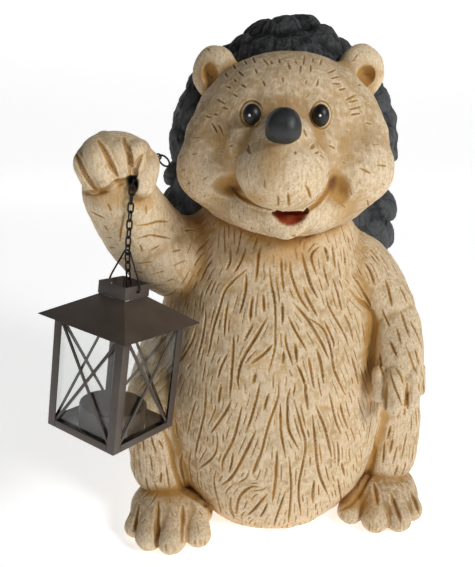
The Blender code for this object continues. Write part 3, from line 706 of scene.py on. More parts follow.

# %% [markdown]
# ## The belly's long strokes
# The belly is what the eye reads as fur. Its strokes are long, run down from the throat and part like hair:
# straight in the middle, leaning out on both sides, with a lazy S here and there. These too are drawn on the
# picture, the upper belly first and then the lower.

# %% Belly strokes
BELLY_WIDTH, BELLY_DEPTH = 0.88, 1.6
UPPER_BELLY = [
    [(260.5, 246.5), (258, 256), (257, 268.5), (255.5, 281.5)],
    [(229.5, 246.5), (230, 256), (229.5, 263), (226, 270)],
    [(245.5, 248.5), (242.5, 257), (239, 264.5), (234, 273)],
    [(212.5, 260), (206, 268.5), (199.5, 281.5)],
    [(246.5, 269.5), (235.5, 278.5), (225, 290), (219.5, 307.5), (213, 329), (207.5, 356)],
    [(246, 274.5), (245.5, 287.5), (243, 300.5), (239.5, 313)],
    [(228, 301.5), (225, 319), (224, 336)],
    [(252.5, 296.5), (251, 306), (250, 320.5)],
    [(263, 294.5), (263.5, 304.5), (264, 311.5)],
    [(269.5, 267.5), (271, 283), (275, 306), (275, 334.5), (274.5, 349), (268.5, 372)],
    [(281, 258.5), (281.5, 271.5), (283.5, 291.5)],
    [(282, 303), (282.5, 313), (282, 324.5)],
    [(290, 261.5), (291, 274.5), (299, 296), (309, 311.5)],
    [(302, 253), (305, 266), (310, 283), (317.5, 298)],
    [(318.5, 247), (312.5, 253), (311.5, 260), (316.5, 275)],
    [(324, 247), (326.5, 253), (328, 261.5)],
    [(332, 244.5), (333.5, 254.5), (335.5, 268)],
    [(343, 248.5), (344.5, 256), (345.5, 265)],
    [(323.5, 264.5), (325, 273), (329, 286)],
    [(303.5, 287.5), (307, 297.5), (317, 316)],
    [(293.5, 303), (307, 319), (320, 340.5), (328.5, 359)],
    [(307, 317), (323, 329), (330.5, 349), (334.5, 370.5), (345.5, 395)],
    [(288.5, 317), (294, 329), (306.5, 350.5)],
    [(326.5, 297.5), (330, 309), (343, 332), (348.5, 346)],
    [(324, 320.5), (333, 340.5), (333.5, 347.5)],
    [(333, 278.5), (337, 291.5), (342, 310.5)],
    [(344.5, 314.5), (349.5, 326), (353.5, 340.5)],
    [(352, 274.5), (360, 286), (371.5, 307.5)],
    [(364.5, 263), (370, 271.5), (374.5, 284.5)],
    [(267, 317.5), (255.5, 337.5), (242.5, 359), (237.5, 377.5), (239, 389)],
    [(253, 324.5), (247.5, 334.5), (244.5, 340.5)],
    [(272.5, 344.5), (264, 353.5), (251, 363.5)],
    [(233.5, 334.5), (232.5, 355), (229.5, 398)],
    [(227.5, 353.5), (221, 366.5), (218, 377.5)],
    [(285.5, 332), (286, 343.5), (292.5, 365)],
    [(295, 343.5), (296, 355), (297, 362)],
    [(297, 365), (302.5, 377.5), (307, 392)],
    [(308.5, 357.5), (310.5, 369), (314, 388)],
    [(316.5, 349), (320.5, 362), (324, 383.5)],
    [(206, 309), (204.5, 326), (197, 360.5)],
    [(196.5, 326), (191, 343.5), (176.5, 365)],
    [(255.5, 373.5), (253, 383.5)],
    [(283.5, 352), (283, 363.5)],
    [(352, 357.5), (356, 372), (358.5, 383.5)],
    [(360, 367.5), (364.5, 380.5), (368, 393.5)],
]
LOWER_BELLY = [
    [(195.5, 401.5), (191, 417), (187.5, 434)],
    [(206, 383), (204, 414), (197, 444.5), (194.5, 460)],
    [(221, 384.5), (219, 395.5), (218.5, 403)],
    [(231, 400), (226, 411), (211, 432.5)],
    [(217, 432.5), (217, 444.5), (213, 457), (199, 468.5)],
    [(241.5, 407.5), (234, 437), (223, 460), (222.5, 471)],
    [(260, 383), (253, 411), (246, 432.5)],
    [(268.5, 394), (266, 401.5), (264, 410)],
    [(255.5, 431), (244.5, 454), (232.5, 475.5), (221.5, 485.5)],
    [(233, 452.5), (231.5, 463), (229, 472.5)],
    [(278.5, 383), (277.5, 398.5), (268.5, 424.5), (261.5, 451), (254, 474)],
    [(260, 454), (255.5, 466), (252.5, 474)],
    [(280, 403), (281, 432.5), (285.5, 457)],
    [(290, 389), (287.5, 401.5), (288.5, 429), (298.5, 449)],
    [(294, 400), (301, 426), (305.5, 447.5), (298.5, 487.5), (301, 515.5)],
    [(304.5, 383), (306, 395.5), (307.5, 409)],
    [(316, 406), (325.5, 431), (331.5, 457)],
    [(312.5, 415.5), (315.5, 444.5), (318.5, 471), (327.5, 494.5)],
    [(329, 392.5), (335.5, 420), (341, 434)],
    [(340, 403), (343, 415.5), (348.5, 429)],
    [(277, 451), (275.5, 478.5), (272.5, 501.5)],
    [(289, 457), (291, 487.5), (288.5, 523)],
    [(285.5, 491), (277, 515.5), (274, 526)],
    [(267.5, 494), (252.5, 511), (247.5, 515.5)],
    [(267.5, 503), (264, 511), (260, 517)],
    [(258.5, 487.5), (251, 487.5), (241.5, 494), (237.5, 503), (236, 514)],
    [(215.5, 471), (214, 484.5), (221.5, 514)],
    [(197, 471), (198.5, 484.5), (209, 509)],
    [(191, 449), (189, 466), (194, 491)],
    [(182.5, 452.5), (181, 466), (186, 487.5)],
    [(231, 497), (230, 507.5), (234, 518.5)],
    [(314, 480), (313, 492.5), (313, 503)],
    [(337.5, 478.5), (340, 491), (341.5, 501.5)],
    [(341.5, 463), (343, 469), (344.5, 475.5)],
    [(337, 441.5), (338.5, 452.5), (338.5, 466)],
]
LEFT_LEG = [
    [(134, 449), (134, 466), (136, 486)], [(151, 437), (153, 444.5), (155.5, 452.5)],
    [(158.5, 440), (162.5, 447.5)], [(161, 472.5), (160.5, 482.5)],
]
for pixels in UPPER_BELLY + LOWER_BELLY + LEFT_LEG:
    vary = chance.uniform(0.85, 1.15)
    strokes.append((seen_line(pixels), BELLY_WIDTH * vary, BELLY_DEPTH * vary))
print(len(strokes), "lines with the belly's")

# %% [markdown]
# ## Scratches on the head
# The head's fur is short nicks, some alone and some in pairs, pressed in with the edge of a tool. They are
# few and plainly seen, so each is marked by its two ends. Where only the ends are given, a middle point
# keeps the curve through them straight.

# %% Scratches on the head
SCRATCH_WIDTH, SCRATCH_DEPTH = 0.62, 0.8
HEAD_SCRATCHES = [
    [(252.5, 57.5), (255.5, 64)], [(255, 69), (257, 74)], [(263, 59), (268.5, 65.5)],
    [(270, 60), (272.5, 64)], [(288, 63), (290, 70)], [(295, 60), (296.5, 64)], [(300.5, 65), (300, 73)],
    [(304.5, 55), (303, 65.5)], [(310.5, 65), (310.5, 72)], [(321.5, 59), (319.5, 65.5)],
    [(328, 72.5), (336, 69)], [(330.5, 78.5), (339, 76)], [(331.5, 83.5), (340.5, 83.5)],
    [(238, 71), (244, 76.5)], [(233.5, 78.5), (236, 82)], [(226, 86), (231, 88)],
    [(225, 72.5), (228.5, 78)], [(216.5, 99), (225.5, 104)], [(213, 113.5), (218, 115)],
    [(205, 116), (211, 117.5)], [(211, 122.5), (214.5, 128), (217.5, 133.5)],
    [(217.5, 124), (221.5, 130), (223.5, 136)], [(345.5, 100), (356.5, 94.5)], [(348, 102), (357.5, 100)],
    [(349.5, 109.5), (361, 106.5)], [(351, 114.5), (359.5, 113.5)], [(365.5, 122.5), (372.5, 124)],
    [(304, 128.5), (306, 135.5)], [(312.5, 132.5), (314, 137)], [(311.5, 149), (315, 144.5)],
    [(315, 153.5), (318.5, 151.5)], [(376.5, 165), (386, 166)], [(359.5, 168), (370, 173)],
    [(367, 200), (370, 210.5)], [(295, 150.5), (295.5, 154)], [(248, 144.5), (251, 152)],
    [(241, 84), (246, 88)], [(262, 80), (265, 86)], [(282, 76), (283, 82)], [(318, 80), (316.5, 86)],
    [(233, 94), (238, 97)], [(339, 90), (346, 88)], [(222, 107), (228, 109)], [(232, 64), (236, 69)],
    [(244, 60), (247, 65)], [(278.5, 58), (279.5, 63)], [(313, 58), (312.5, 62)],
]
for first, *between, last in HEAD_SCRATCHES:
    middle = ((first[0] + last[0]) / 2, (first[1] + last[1]) / 2)
    pixels = [first, *(between or [middle]), last]
    strokes.append((seen_line(pixels), SCRATCH_WIDTH, SCRATCH_DEPTH))
print(len(strokes), "lines with the head's")

# %% [markdown]
# ## Which way a stroke runs
# Between the drawn strokes go shorter ones that follow them. On the belly a stroke takes the mean direction
# of the drawn lines near it, weighted by how near they are. A search tree finds those quickly. Elsewhere one
# rule for each zone is enough.

# %% Direction of the fur
FLOW_REACH = 26 * UNIT
drawn_flow = KDTree(sum(len(line) - 1 for line, _, _ in strokes))
drawn_ways = []
for line, _, _ in strokes:
    for spot, after in zip(line, line[1:]):
        drawn_flow.insert(spot, len(drawn_ways))
        drawn_ways.append(Vector(after - spot).normalized())
drawn_flow.balance()


def fur_direction(spot, zone, lean):
    """The way a stroke runs there, before it is laid flat on the skin."""
    x, y, z = spot / UNIT
    if zone == "head":
        return (spot - NOSE) + Vector((lean, 0, lean)) * 0.03
    if zone == "raised arm":
        return Vector((1, -0.1, 0.3 + lean)) if z < 262 else Vector((0.3 + lean, 0, -1))
    if zone == "hanging arm":
        return Vector((0.3 + lean, -0.1, -1))
    if zone in ("leg", "foot"):
        return Vector((0.4 * lean - 0.1 * (1 if x > 0 else -1), 0, -1))
    way = Vector((lean + 0.008 * x, 0, -1)) * 0.002
    for near, mark, gap in drawn_flow.find_n(spot, 8):
        if gap < FLOW_REACH and drawn_ways[mark].z < 0:
            way += drawn_ways[mark] / (1 + gap / UNIT)
    return way


print(len(drawn_ways), "directions taken from the drawn lines")

# %% [markdown]
# ## Room between strokes
# A careful hand leaves about the same room between two strokes. Testing a new stroke against all the others
# would be slow, so their points are sorted into a grid of cells, and only the cells next to it are searched.

# %% Keep the strokes apart
CELL = 10 * UNIT
COAT_MARGIN = 0.0008


def cell_of(spot):
    """The cell of the grid that a point is in."""
    return tuple(int(math.floor(part / CELL)) for part in spot)


def too_near(cells, spot, space):
    """Whether some stroke already passes within that space of the point."""
    x, y, z = cell_of(spot)
    for i in (x - 1, x, x + 1):
        for j in (y - 1, y, y + 1):
            for k in (z - 1, z, z + 1):
                for other in cells.get((i, j, k), ()):
                    if (other - spot).length_squared < space * space:
                        return True
    return False


def under_coat(spot):
    """Whether the quills cover the point."""
    near, normal, _, _ = coat_surface.find_nearest(spot)
    return (spot - near).dot(normal) < COAT_MARGIN


print("cells of", round(CELL * 1000, 1), "mm keep the strokes apart")

# %% [markdown]
# ## Drawing the strokes between
# Each stroke starts at a random point of the skin and walks along the flow in short steps, and after every
# step it is set back on the skin. It is kept only where no other stroke is too near. The random numbers come
# from one seeded generator, so every run draws the same fur.

# %% Trace the strokes
STEP = 1.0 * UNIT
LOWEST_START = 3 * UNIT
FARTHEST_BACK = 0.05
NOSE_CLEAR = 36 * UNIT
ENDS_SHARE = 0.6
LEAN_SPREAD = 0.13
TRIES = 20000


def trace(start, zone, length, lean):
    """A stroke's points on the skin, from its start down the flow."""
    spot, normal, _, _ = plain_surface.find_nearest(start)
    line = [spot]
    for _ in range(int(length)):
        way = Vector(fur_direction(spot, zone, lean))
        way -= normal * way.dot(normal)
        if way.length < 1e-6:
            break
        spot, normal, _, _ = plain_surface.find_nearest(spot + way.normalized() * STEP)
        line.append(spot)
    return line


def fur_strokes():
    """Lines of (points, half width, depth) in drawing units, spread evenly between the drawn ones."""
    spots = coordinates_of(plain_skin)
    cells = {}
    for line, _, _ in strokes:
        for spot in line:
            cells.setdefault(cell_of(spot), []).append(Vector(spot))
    lines = []
    for index in chance.choice(len(spots), min(TRIES, len(spots)), replace=False):
        start = Vector(spots[index])
        zone = fur_zone(start)
        if zone not in STROKES or start.z < LOWEST_START or start.y > FARTHEST_BACK or under_coat(start):
            continue
        shortest, longest, space, width, depth = STROKES[zone]
        if zone == "head" and (start - NOSE).length < NOSE_CLEAR:
            continue
        line = trace(start, zone, chance.uniform(shortest, longest), chance.normal(0, LEAN_SPREAD))
        if any(too_near(cells, spot, space * UNIT) for spot in line[2:-2:2]):
            continue
        if any(too_near(cells, spot, ENDS_SHARE * space * UNIT) for spot in (line[0], line[-1])):
            continue
        for spot in line[::2]:
            cells.setdefault(cell_of(spot), []).append(spot)
        vary = chance.uniform(0.75, 1.2)
        lines.append((np.array(line), width * vary, depth * vary))
    return lines


strokes += fur_strokes()
print(len(strokes), "strokes in all")

# %% [markdown]
# ## Carving
# Every line becomes a close row of marks, each with its own width and depth, tapered at both ends. The skin
# near a mark sinks into a groove, a rim just outside it rises a little, as clay does beside a tool, and a
# wide shallow valley round both softens the change. A displacement texture would need a UV map. The same
# marks later tell the paint where the wash has settled.

# %% Carve the strokes into the skin
MARK_GAP = 0.35 * UNIT
TAPER = 4.5
RIM_START, RIM_END = 1.0, 2.6
VALLEY = 3.6
GROOVE_SHARE, VALLEY_SHARE, RIM_SHARE = 0.8, 0.38, 0.24
TOO_DEEP = 5 * UNIT
FAR_AWAY = 9
BROAD = 1.5


def marks_of(lines):
    """Points along all the lines, their half widths and depths in metres, and how much paint they hold."""
    spots, widths, depths, paints = [], [], [], []
    for line, width, depth in lines:
        gaps = np.linalg.norm(np.diff(line, axis=0), axis=1)
        way = np.concatenate([[0], np.cumsum(gaps)])
        steps = np.linspace(0, way[-1], max(3, int(way[-1] / MARK_GAP)))
        share = steps / way[-1]
        taper = np.clip(TAPER * np.minimum(share, 1 - share), 0.1, 1) ** 0.7
        spots.append(np.stack([np.interp(steps, way, line[:, axis]) for axis in range(3)], axis=1))
        widths.append(width * UNIT * (0.45 + 0.55 * taper))
        depths.append(depth * UNIT * taper)
        paints.append(np.full(len(steps), min(1, (BROAD / width) ** 2)))
    return [np.concatenate(parts) for parts in (spots, widths, depths, paints)]


mark_spots, mark_widths, mark_depths, mark_paints = marks_of(strokes)
marks = KDTree(len(mark_spots))
for index, spot in enumerate(mark_spots):
    marks.insert(spot, index)
marks.balance()


def groove_at(mesh):
    """How deep each point lies in metres, and how much groove, rim and valley it belongs to, from 0 to 1."""
    spots, normals = coordinates_of(mesh), normals_of(mesh)
    nearest = np.array([marks.find(spot)[1] for spot in spots])
    gap = spots - mark_spots[nearest]
    lift = (gap * normals).sum(1)
    aside = np.sqrt(np.maximum((gap**2).sum(1) - lift**2, 0))
    reach = aside / mark_widths[nearest] + FAR_AWAY * (np.abs(lift) > TOO_DEEP)
    share = np.clip(1 - reach**2, 0, 1) ** 1.2
    valley = np.clip(1 - reach / VALLEY, 0, 1) ** 2
    rim = np.sin(math.pi * np.clip((reach - RIM_START) / (RIM_END - RIM_START), 0, 1)) * mark_paints[nearest]
    sink = (GROOVE_SHARE * share + VALLEY_SHARE * valley - RIM_SHARE * rim) * mark_depths[nearest]
    return sink, share * mark_paints[nearest], rim, valley


print(len(mark_spots), "marks along the strokes")

# %% [markdown]
# ## Fewer faces
# A fine voxel skin has far more faces than its smooth parts need. Decimate takes them away where the surface
# is flat and leaves them in the carving. What lies below the floor or outside the measured box is then
# pressed flat against it, so that the figure stands and keeps its size. The coat's foot is tucked in under
# the fur, so that only its quills show there.

# %% Thin the skin
FACES = {"head_fur": 180000, "body_fur": 195000, "left_foot": 40000, "right_foot": 40000,
         "lantern_fist": 60000, "hanging_hand": 30000, "quill_coat": 110000}
BEHIND = (0.02, 0.035)
COAT_FOOT, COAT_TUCK = 70 * UNIT, 25 * UNIT


def thinned(mesh, name):
    """The mesh with about as many triangles as its name is given."""
    faces = FACES[name] * 1
    return worked(mesh, "DECIMATE", ratio=min(1, faces / (2 * len(mesh.polygons))))


def stood(mesh):
    """Presses flat what is below the floor or outside the measured box."""
    place_points(mesh, np.clip(coordinates_of(mesh), np.array(cad_low), np.array(cad_high)))
    return mesh


skins = {}
for name, shapes in clay.items():
    mesh = carved(melted(shapes, SKIN_VOXEL, 6), name)
    lumpy(mesh, 14, 0.7, 5, BEHIND)
    lumpy(mesh, 5, 0.3, 9, BEHIND)
    sink = groove_at(mesh)[0]
    place_points(mesh, coordinates_of(mesh) - normals_of(mesh) * sink[:, None])
    before = 2 * len(mesh.polygons)
    skins[name] = stood(thinned(mesh, name))
    print(name, before, "->", len(skins[name].polygons), "faces")
spots = coordinates_of(coat_mesh)
tuck = np.clip(1 - spots[:, 2] / COAT_FOOT, 0, 1) * COAT_TUCK
place_points(coat_mesh, spots - normals_of(coat_mesh) * tuck[:, None])
coat_mesh = stood(thinned(coat_mesh, "quill_coat"))
print("quill_coat", len(coat_mesh.polygons), "faces")

# %% [markdown]
# ## Where paint settles
# On the real figure an ochre wash was brushed on and wiped off again: it stays in grooves and hollows, and a
# dry brush of near white catches what stands proud. Numbers kept for every point of the skin carry that to
# the material, together with painted shade in the hollows, under the chin and at the folds. First we measure
# how hollow or raised each point is: the mesh is smoothed for many rounds, and what has moved outwards was a
# hollow. Few rounds show the carving, many show the whole form.

# %% Hollow and raised
FORM_ROUNDS, SKIN_ROUNDS, COAT_ROUNDS = 60, 8, 10


def relief(mesh, rounds):
    """How far each point lies below its surroundings, averaged over many rounds of smoothing."""
    spots = coordinates_of(mesh)
    ends = np.empty(2 * len(mesh.edges), int)
    mesh.edges.foreach_get("vertices", ends)
    first, second = ends.reshape(-1, 2).T
    links = np.bincount(first, minlength=len(spots)) + np.bincount(second, minlength=len(spots))
    soft = spots.copy()
    for _ in range(rounds):
        total = np.stack([
            np.bincount(first, soft[second, axis], len(spots))
            + np.bincount(second, soft[first, axis], len(spots))
            for axis in range(3)
        ], axis=1)
        soft = 0.4 * soft + 0.6 * total / np.maximum(links, 1)[:, None]
    return ((soft - spots) * normals_of(mesh)).sum(1) / UNIT


form_relief = relief(plain_skin, FORM_ROUNDS)
form_tree = KDTree(len(plain_skin.vertices))
for index, vertex in enumerate(plain_skin.vertices):
    form_tree.insert(vertex.co, index)
form_tree.balance()


def set_numbers(mesh, name, values):
    """Keeps one number for every point of the mesh under a name that materials can read."""
    layer = mesh.attributes.new(name, "FLOAT", "POINT")
    layer.data.foreach_set("value", np.clip(values, 0, 1).astype(np.float32))


def near_to(spots, centre, radii):
    """1 at the centre, falling to 0 at the radii, in drawing units."""
    gap = (((spots - np.array(centre)) / (np.array(radii) * UNIT)) ** 2).sum(1)
    return np.clip(1 - gap, 0, 1)


print("form relief", np.percentile(form_relief, [1, 10, 50, 90, 99]).round(2))

# %% [markdown]
# ## Places with paint and painted shade of their own
# A few places on the real figure got more paint than their form alone explains: ochre ear cups, an ochre band
# under the nose, a pale lower lip, a red brown mouth. Others carry painted shade: the dimples, ochre with
# dark cores, ochre patches under the chin, the cheeks and the fist, at the folds and on the insteps, and the
# near black hollow that the chain runs out of. They are marked through the camera like the carved lines, or
# by a point of the drawing where the camera can't see them. Most have a centre and three radii in drawing
# units, and the lip is a line.

# %% Places on the skin
DIMPLES = [(seen_on_skin(229.5, 187), (14, 15, 9)), (seen_on_skin(340, 188), (10, 15, 14))]
# Dark brown painted shade at the cores of the dimples.
DIMPLE_SHADE_CORES = [(seen_on_skin(233, 190), (9, 14, 4.5)), (seen_on_skin(332.5, 182), (4.5, 14, 9))]
EAR_CUPS = [(at(-59, -30, 371), (12, 14, 14)), (at(59, -30, 370), (12, 14, 12))]
# Ochre patches: the one under the nose is the figure's own paint. The others are painted shade under the
# chin, the muzzle, the cheeks and the fist, at the folds and on the insteps.
OCHRE_AND_SHADE_PATCHES = [
    (seen_on_skin(272, 160), (12, 14, 22)),
    (seen_on_skin(112, 199), (26, 14, 10)),
    (seen_on_skin(145, 200), (14, 14, 10)),
    (seen_on_skin(345, 212), (16, 14, 14)),
    (seen_on_skin(255, 198), (12, 14, 8)),
    (at(-70, -48, 276), (16, 24, 18)),
    (seen_on_skin(287, 240), (34, 16, 8)),
    (seen_on_skin(372, 360), (10, 16, 40)),
    (seen_on_skin(176, 490), (36, 30, 7)),
    (seen_on_skin(358, 500), (22, 30, 10)),
    (seen_on_skin(285, 256), (50, 20, 9)),
]
# The hollow that the chain runs out of is painted near black: a painted shadow.
CHAIN_HOLE, CHAIN_HOLE_RADII = at(-103.5, -98, 298), (5.5, 16, 5.5)
MOUTH, MOUTH_RADII = at(3.8, -91, 276), (12, 11, 10.5)
LIP = seen_line([(243, 205), (258, 219), (272, 228), (287, 234), (303, 226), (318, 212)])
LIP_HALF_WIDTH = 4.5
# How much browner each piece is painted. The right foot's full share is partly painted shade, darkening it as
# shade would.
TAN_AND_SHADE_SHARE = {"head_fur": 0.3, "body_fur": 0.0, "left_foot": 0.35, "right_foot": 1.0, "lantern_fist": 0.15,
             "hanging_hand": 0.4}
print(len(OCHRE_AND_SHADE_PATCHES), "ochre_and_painted_shade patches")

# %% [markdown]
# ## Seven numbers for the paint
# Each point of the skin gets seven numbers from 0 to 1: the groove, the ochre wash with its painted shade,
# the dark brown painted shade of the deepest hollows, pale, tan with painted shade on the left leg and the
# right foot, the tongue, and the near black painted shadow of the chain's hollow. The wash and the dark shade
# grow with the hollow, pale with what stands proud, and the places above add to them. Painting on an image
# would do as well, but numbers on points need no UV map, and any node can read them by name.

# %% Paint numbers of the skin
def wash_and_shade_at(spots, hollow, local, valley):
    """How much ochre wash lies at each point, with ochre painted shade under the chin, at the folds, in the
    dimples and on the insteps, and how much dark brown painted shade lies in the deepest hollows and the
    dimple cores.
    """
    wash_and_shade = np.clip(hollow / 2.6, 0, 1) * 0.85 + 0.25 * np.clip(local / 0.25, 0, 1) + 0.42 * valley
    # Dark brown painted shade in the deepest hollows.
    deep = np.clip((hollow - 2.2) / 3.2, 0, 1)
    for centre, radii in EAR_CUPS:
        wash_and_shade += 0.9 * near_to(spots, centre, radii)
        deep *= 1 - 0.75 * near_to(spots, centre, radii)
    # Ochre painted shade under the chin, at the folds and on the insteps.
    for centre, radii in OCHRE_AND_SHADE_PATCHES:
        wash_and_shade += 0.7 * near_to(spots, centre, radii)
    for centre, radii in DIMPLES:
        wash_and_shade += 0.75 * near_to(spots, centre, radii) ** 1.6
        deep *= 1 - 0.8 * near_to(spots, centre, radii)
    for centre, radii in DIMPLE_SHADE_CORES:
        deep += 0.75 * near_to(spots, centre, radii) ** 1.5
    return wash_and_shade, deep


def limb_tan_and_shadow(spots):
    """How much browner the limbs on the right are than the belly, and how much painted shadow of the lantern
    lies on the leg on the left.
    """
    x, _, z = spots.T / UNIT
    right_limbs = np.clip((x - 66) / 12, 0, 1)
    left_leg = np.clip((-x - 48) / 12, 0, 1) * np.clip((125 - z) / 15, 0, 1)
    return 0.55 * right_limbs + 0.9 * left_leg


def lip_band(spots):
    """1 on the lower lip, falling to 0 beside it."""
    away = np.min([((spots - mark) ** 2).sum(1) for mark in LIP[::3]], axis=0) ** 0.5 / UNIT
    return np.clip(1 - away / LIP_HALF_WIDTH, 0, 1)


for name, mesh in skins.items():
    spots = coordinates_of(mesh)
    _, groove, rim, valley = groove_at(mesh)
    hollow = form_relief[np.array([form_tree.find(spot)[1] for spot in spots])]
    local = relief(mesh, SKIN_ROUNDS)
    wash_and_shade, deep = wash_and_shade_at(spots, hollow, local, valley)
    pale = np.clip(-hollow / 1.8, 0, 1) * 0.55 + np.clip(-local / 0.1, 0, 1) * 0.75 + 0.6 * rim
    # The tan number is browner paint and also painted shade: the lantern's shadow on the left leg, and shade
    # on the right foot.
    tan = TAN_AND_SHADE_SHARE[name] + limb_tan_and_shadow(spots) * (name == "body_fur")
    tongue = np.zeros(len(spots))
    if name == "head_fur":
        tongue = 4 * near_to(spots, MOUTH, MOUTH_RADII)
        pale += 0.8 * lip_band(spots)
    # Near black painted shadow in the hollow that the chain runs out of.
    chain_hole_shadow = 3 * near_to(spots, CHAIN_HOLE, CHAIN_HOLE_RADII)
    numbers = {"groove": groove, "wash_and_shade": wash_and_shade, "deep": deep, "pale": pale, "tan": tan, "tongue": tongue,
               "chain_hole_shadow": chain_hole_shadow}
    for title, values in numbers.items():
        set_numbers(mesh, title, values)
    print(name, "local relief", np.percentile(local, [1, 50, 99]).round(2))
coat_relief = relief(coat_mesh, COAT_ROUNDS)
set_numbers(coat_mesh, "pale", np.clip(-coat_relief / 0.5, 0, 1))
set_numbers(coat_mesh, "deep", np.clip(coat_relief / 0.8, 0, 1))

# %% [markdown]
# ## Materials
# A small kit for node trees: each helper adds one node and returns its output, so that a material reads like
# a recipe. Colours are given as they look on screen, and converted to the linear values Blender wants.

# %% Node helpers
def linear(red, green, blue):
    """A colour as seen on screen, 0 to 255, as Blender's linear values."""
    parts = [part / 255 for part in (red, green, blue)]
    return tuple(p / 12.92 if p <= 0.04045 else ((p + 0.055) / 1.055) ** 2.4 for p in parts) + (1,)


class Recipe:
    """A material's node tree, with one method for each kind of node used here."""

    def __init__(self, name, roughness, metallic=0.0):
        self.material = bpy.data.materials.new(name)
        self.material.use_nodes = True
        self.tree = self.material.node_tree
        self.shader = self.tree.nodes["Principled BSDF"]
        self.shader.inputs["Roughness"].default_value = roughness
        self.shader.inputs["Metallic"].default_value = metallic
        self.place = self.tree.nodes.new("ShaderNodeTexCoord").outputs["Object"]

    def feed(self, socket, value):
        """Links the socket to another node's output, or sets it to a plain value."""
        if isinstance(value, bpy.types.NodeSocket):
            self.tree.links.new(value, socket)
        else:
            socket.default_value = value

    def stretched(self, x, y, z):
        """The place on the piece, scaled along each axis."""
        node = self.tree.nodes.new("ShaderNodeMapping")
        self.feed(node.inputs["Vector"], self.place)
        node.inputs["Scale"].default_value = (x, y, z)
        return node.outputs["Vector"]

    def noise(self, scale, detail=3.0, roughness=0.55, vector=None):
        node = self.tree.nodes.new("ShaderNodeTexNoise")
        self.feed(node.inputs["Vector"], vector or self.place)
        node.inputs["Scale"].default_value = scale
        node.inputs["Detail"].default_value = detail
        node.inputs["Roughness"].default_value = roughness
        return node.outputs["Fac"]

    def number(self, name):
        """A number kept on the points of the mesh."""
        node = self.tree.nodes.new("ShaderNodeAttribute")
        node.attribute_name = name
        return node.outputs["Fac"]

    def ramp(self, value, *stops):
        """Numbers or colours along a value: each stop is (place, grey or colour)."""
        node = self.tree.nodes.new("ShaderNodeValToRGB")
        self.feed(node.inputs["Fac"], value)
        steps = node.color_ramp.elements
        while len(steps) < len(stops):
            steps.new(0.5)
        for step, (place, colour) in zip(steps, stops):
            step.position = place
            step.color = colour if isinstance(colour, tuple) else (colour, colour, colour, 1)
        return node.outputs["Color"]

    def math(self, operation, first, second):
        node = self.tree.nodes.new("ShaderNodeMath")
        node.operation = operation
        self.feed(node.inputs[0], first)
        self.feed(node.inputs[1], second)
        return node.outputs["Value"]

    def times(self, first, second):
        return self.math("MULTIPLY", first, second)

    def mix(self, share, first, second):
        """Mix nodes hide the sockets of other types, so the colour ones are found by their place."""
        node = self.tree.nodes.new("ShaderNodeMix")
        node.data_type = "RGBA"
        self.feed(node.inputs[0], share)
        self.feed(node.inputs[6], first)
        self.feed(node.inputs[7], second)
        return node.outputs[2]

    def bump(self, height, distance, strength, before=None):
        node = self.tree.nodes.new("ShaderNodeBump")
        node.inputs["Strength"].default_value = strength
        node.inputs["Distance"].default_value = distance
        self.feed(node.inputs["Height"], height)
        if before:
            self.feed(node.inputs["Normal"], before)
        return node.outputs["Normal"]

    def finish(self, colour, roughness, normal):
        self.feed(self.shader.inputs["Base Color"], colour)
        self.feed(self.shader.inputs["Roughness"], roughness)
        self.feed(self.shader.inputs["Normal"], normal)
        return self.material


print("node helpers ready")

# %% [markdown]
# ## Painted fur
# Tan under a stippled cream, with pale and golden patches and brown flecks, ochre where the wash and some
# painted shade lie, dark brown painted shade in the deepest hollows, and a near black painted shadow in the
# chain's hollow. The stipple is a fine noise with hard edges, because a nearly dry brush leaves specks and
# not a blur. Each layer is mixed over the one before, in the order of the real painting.

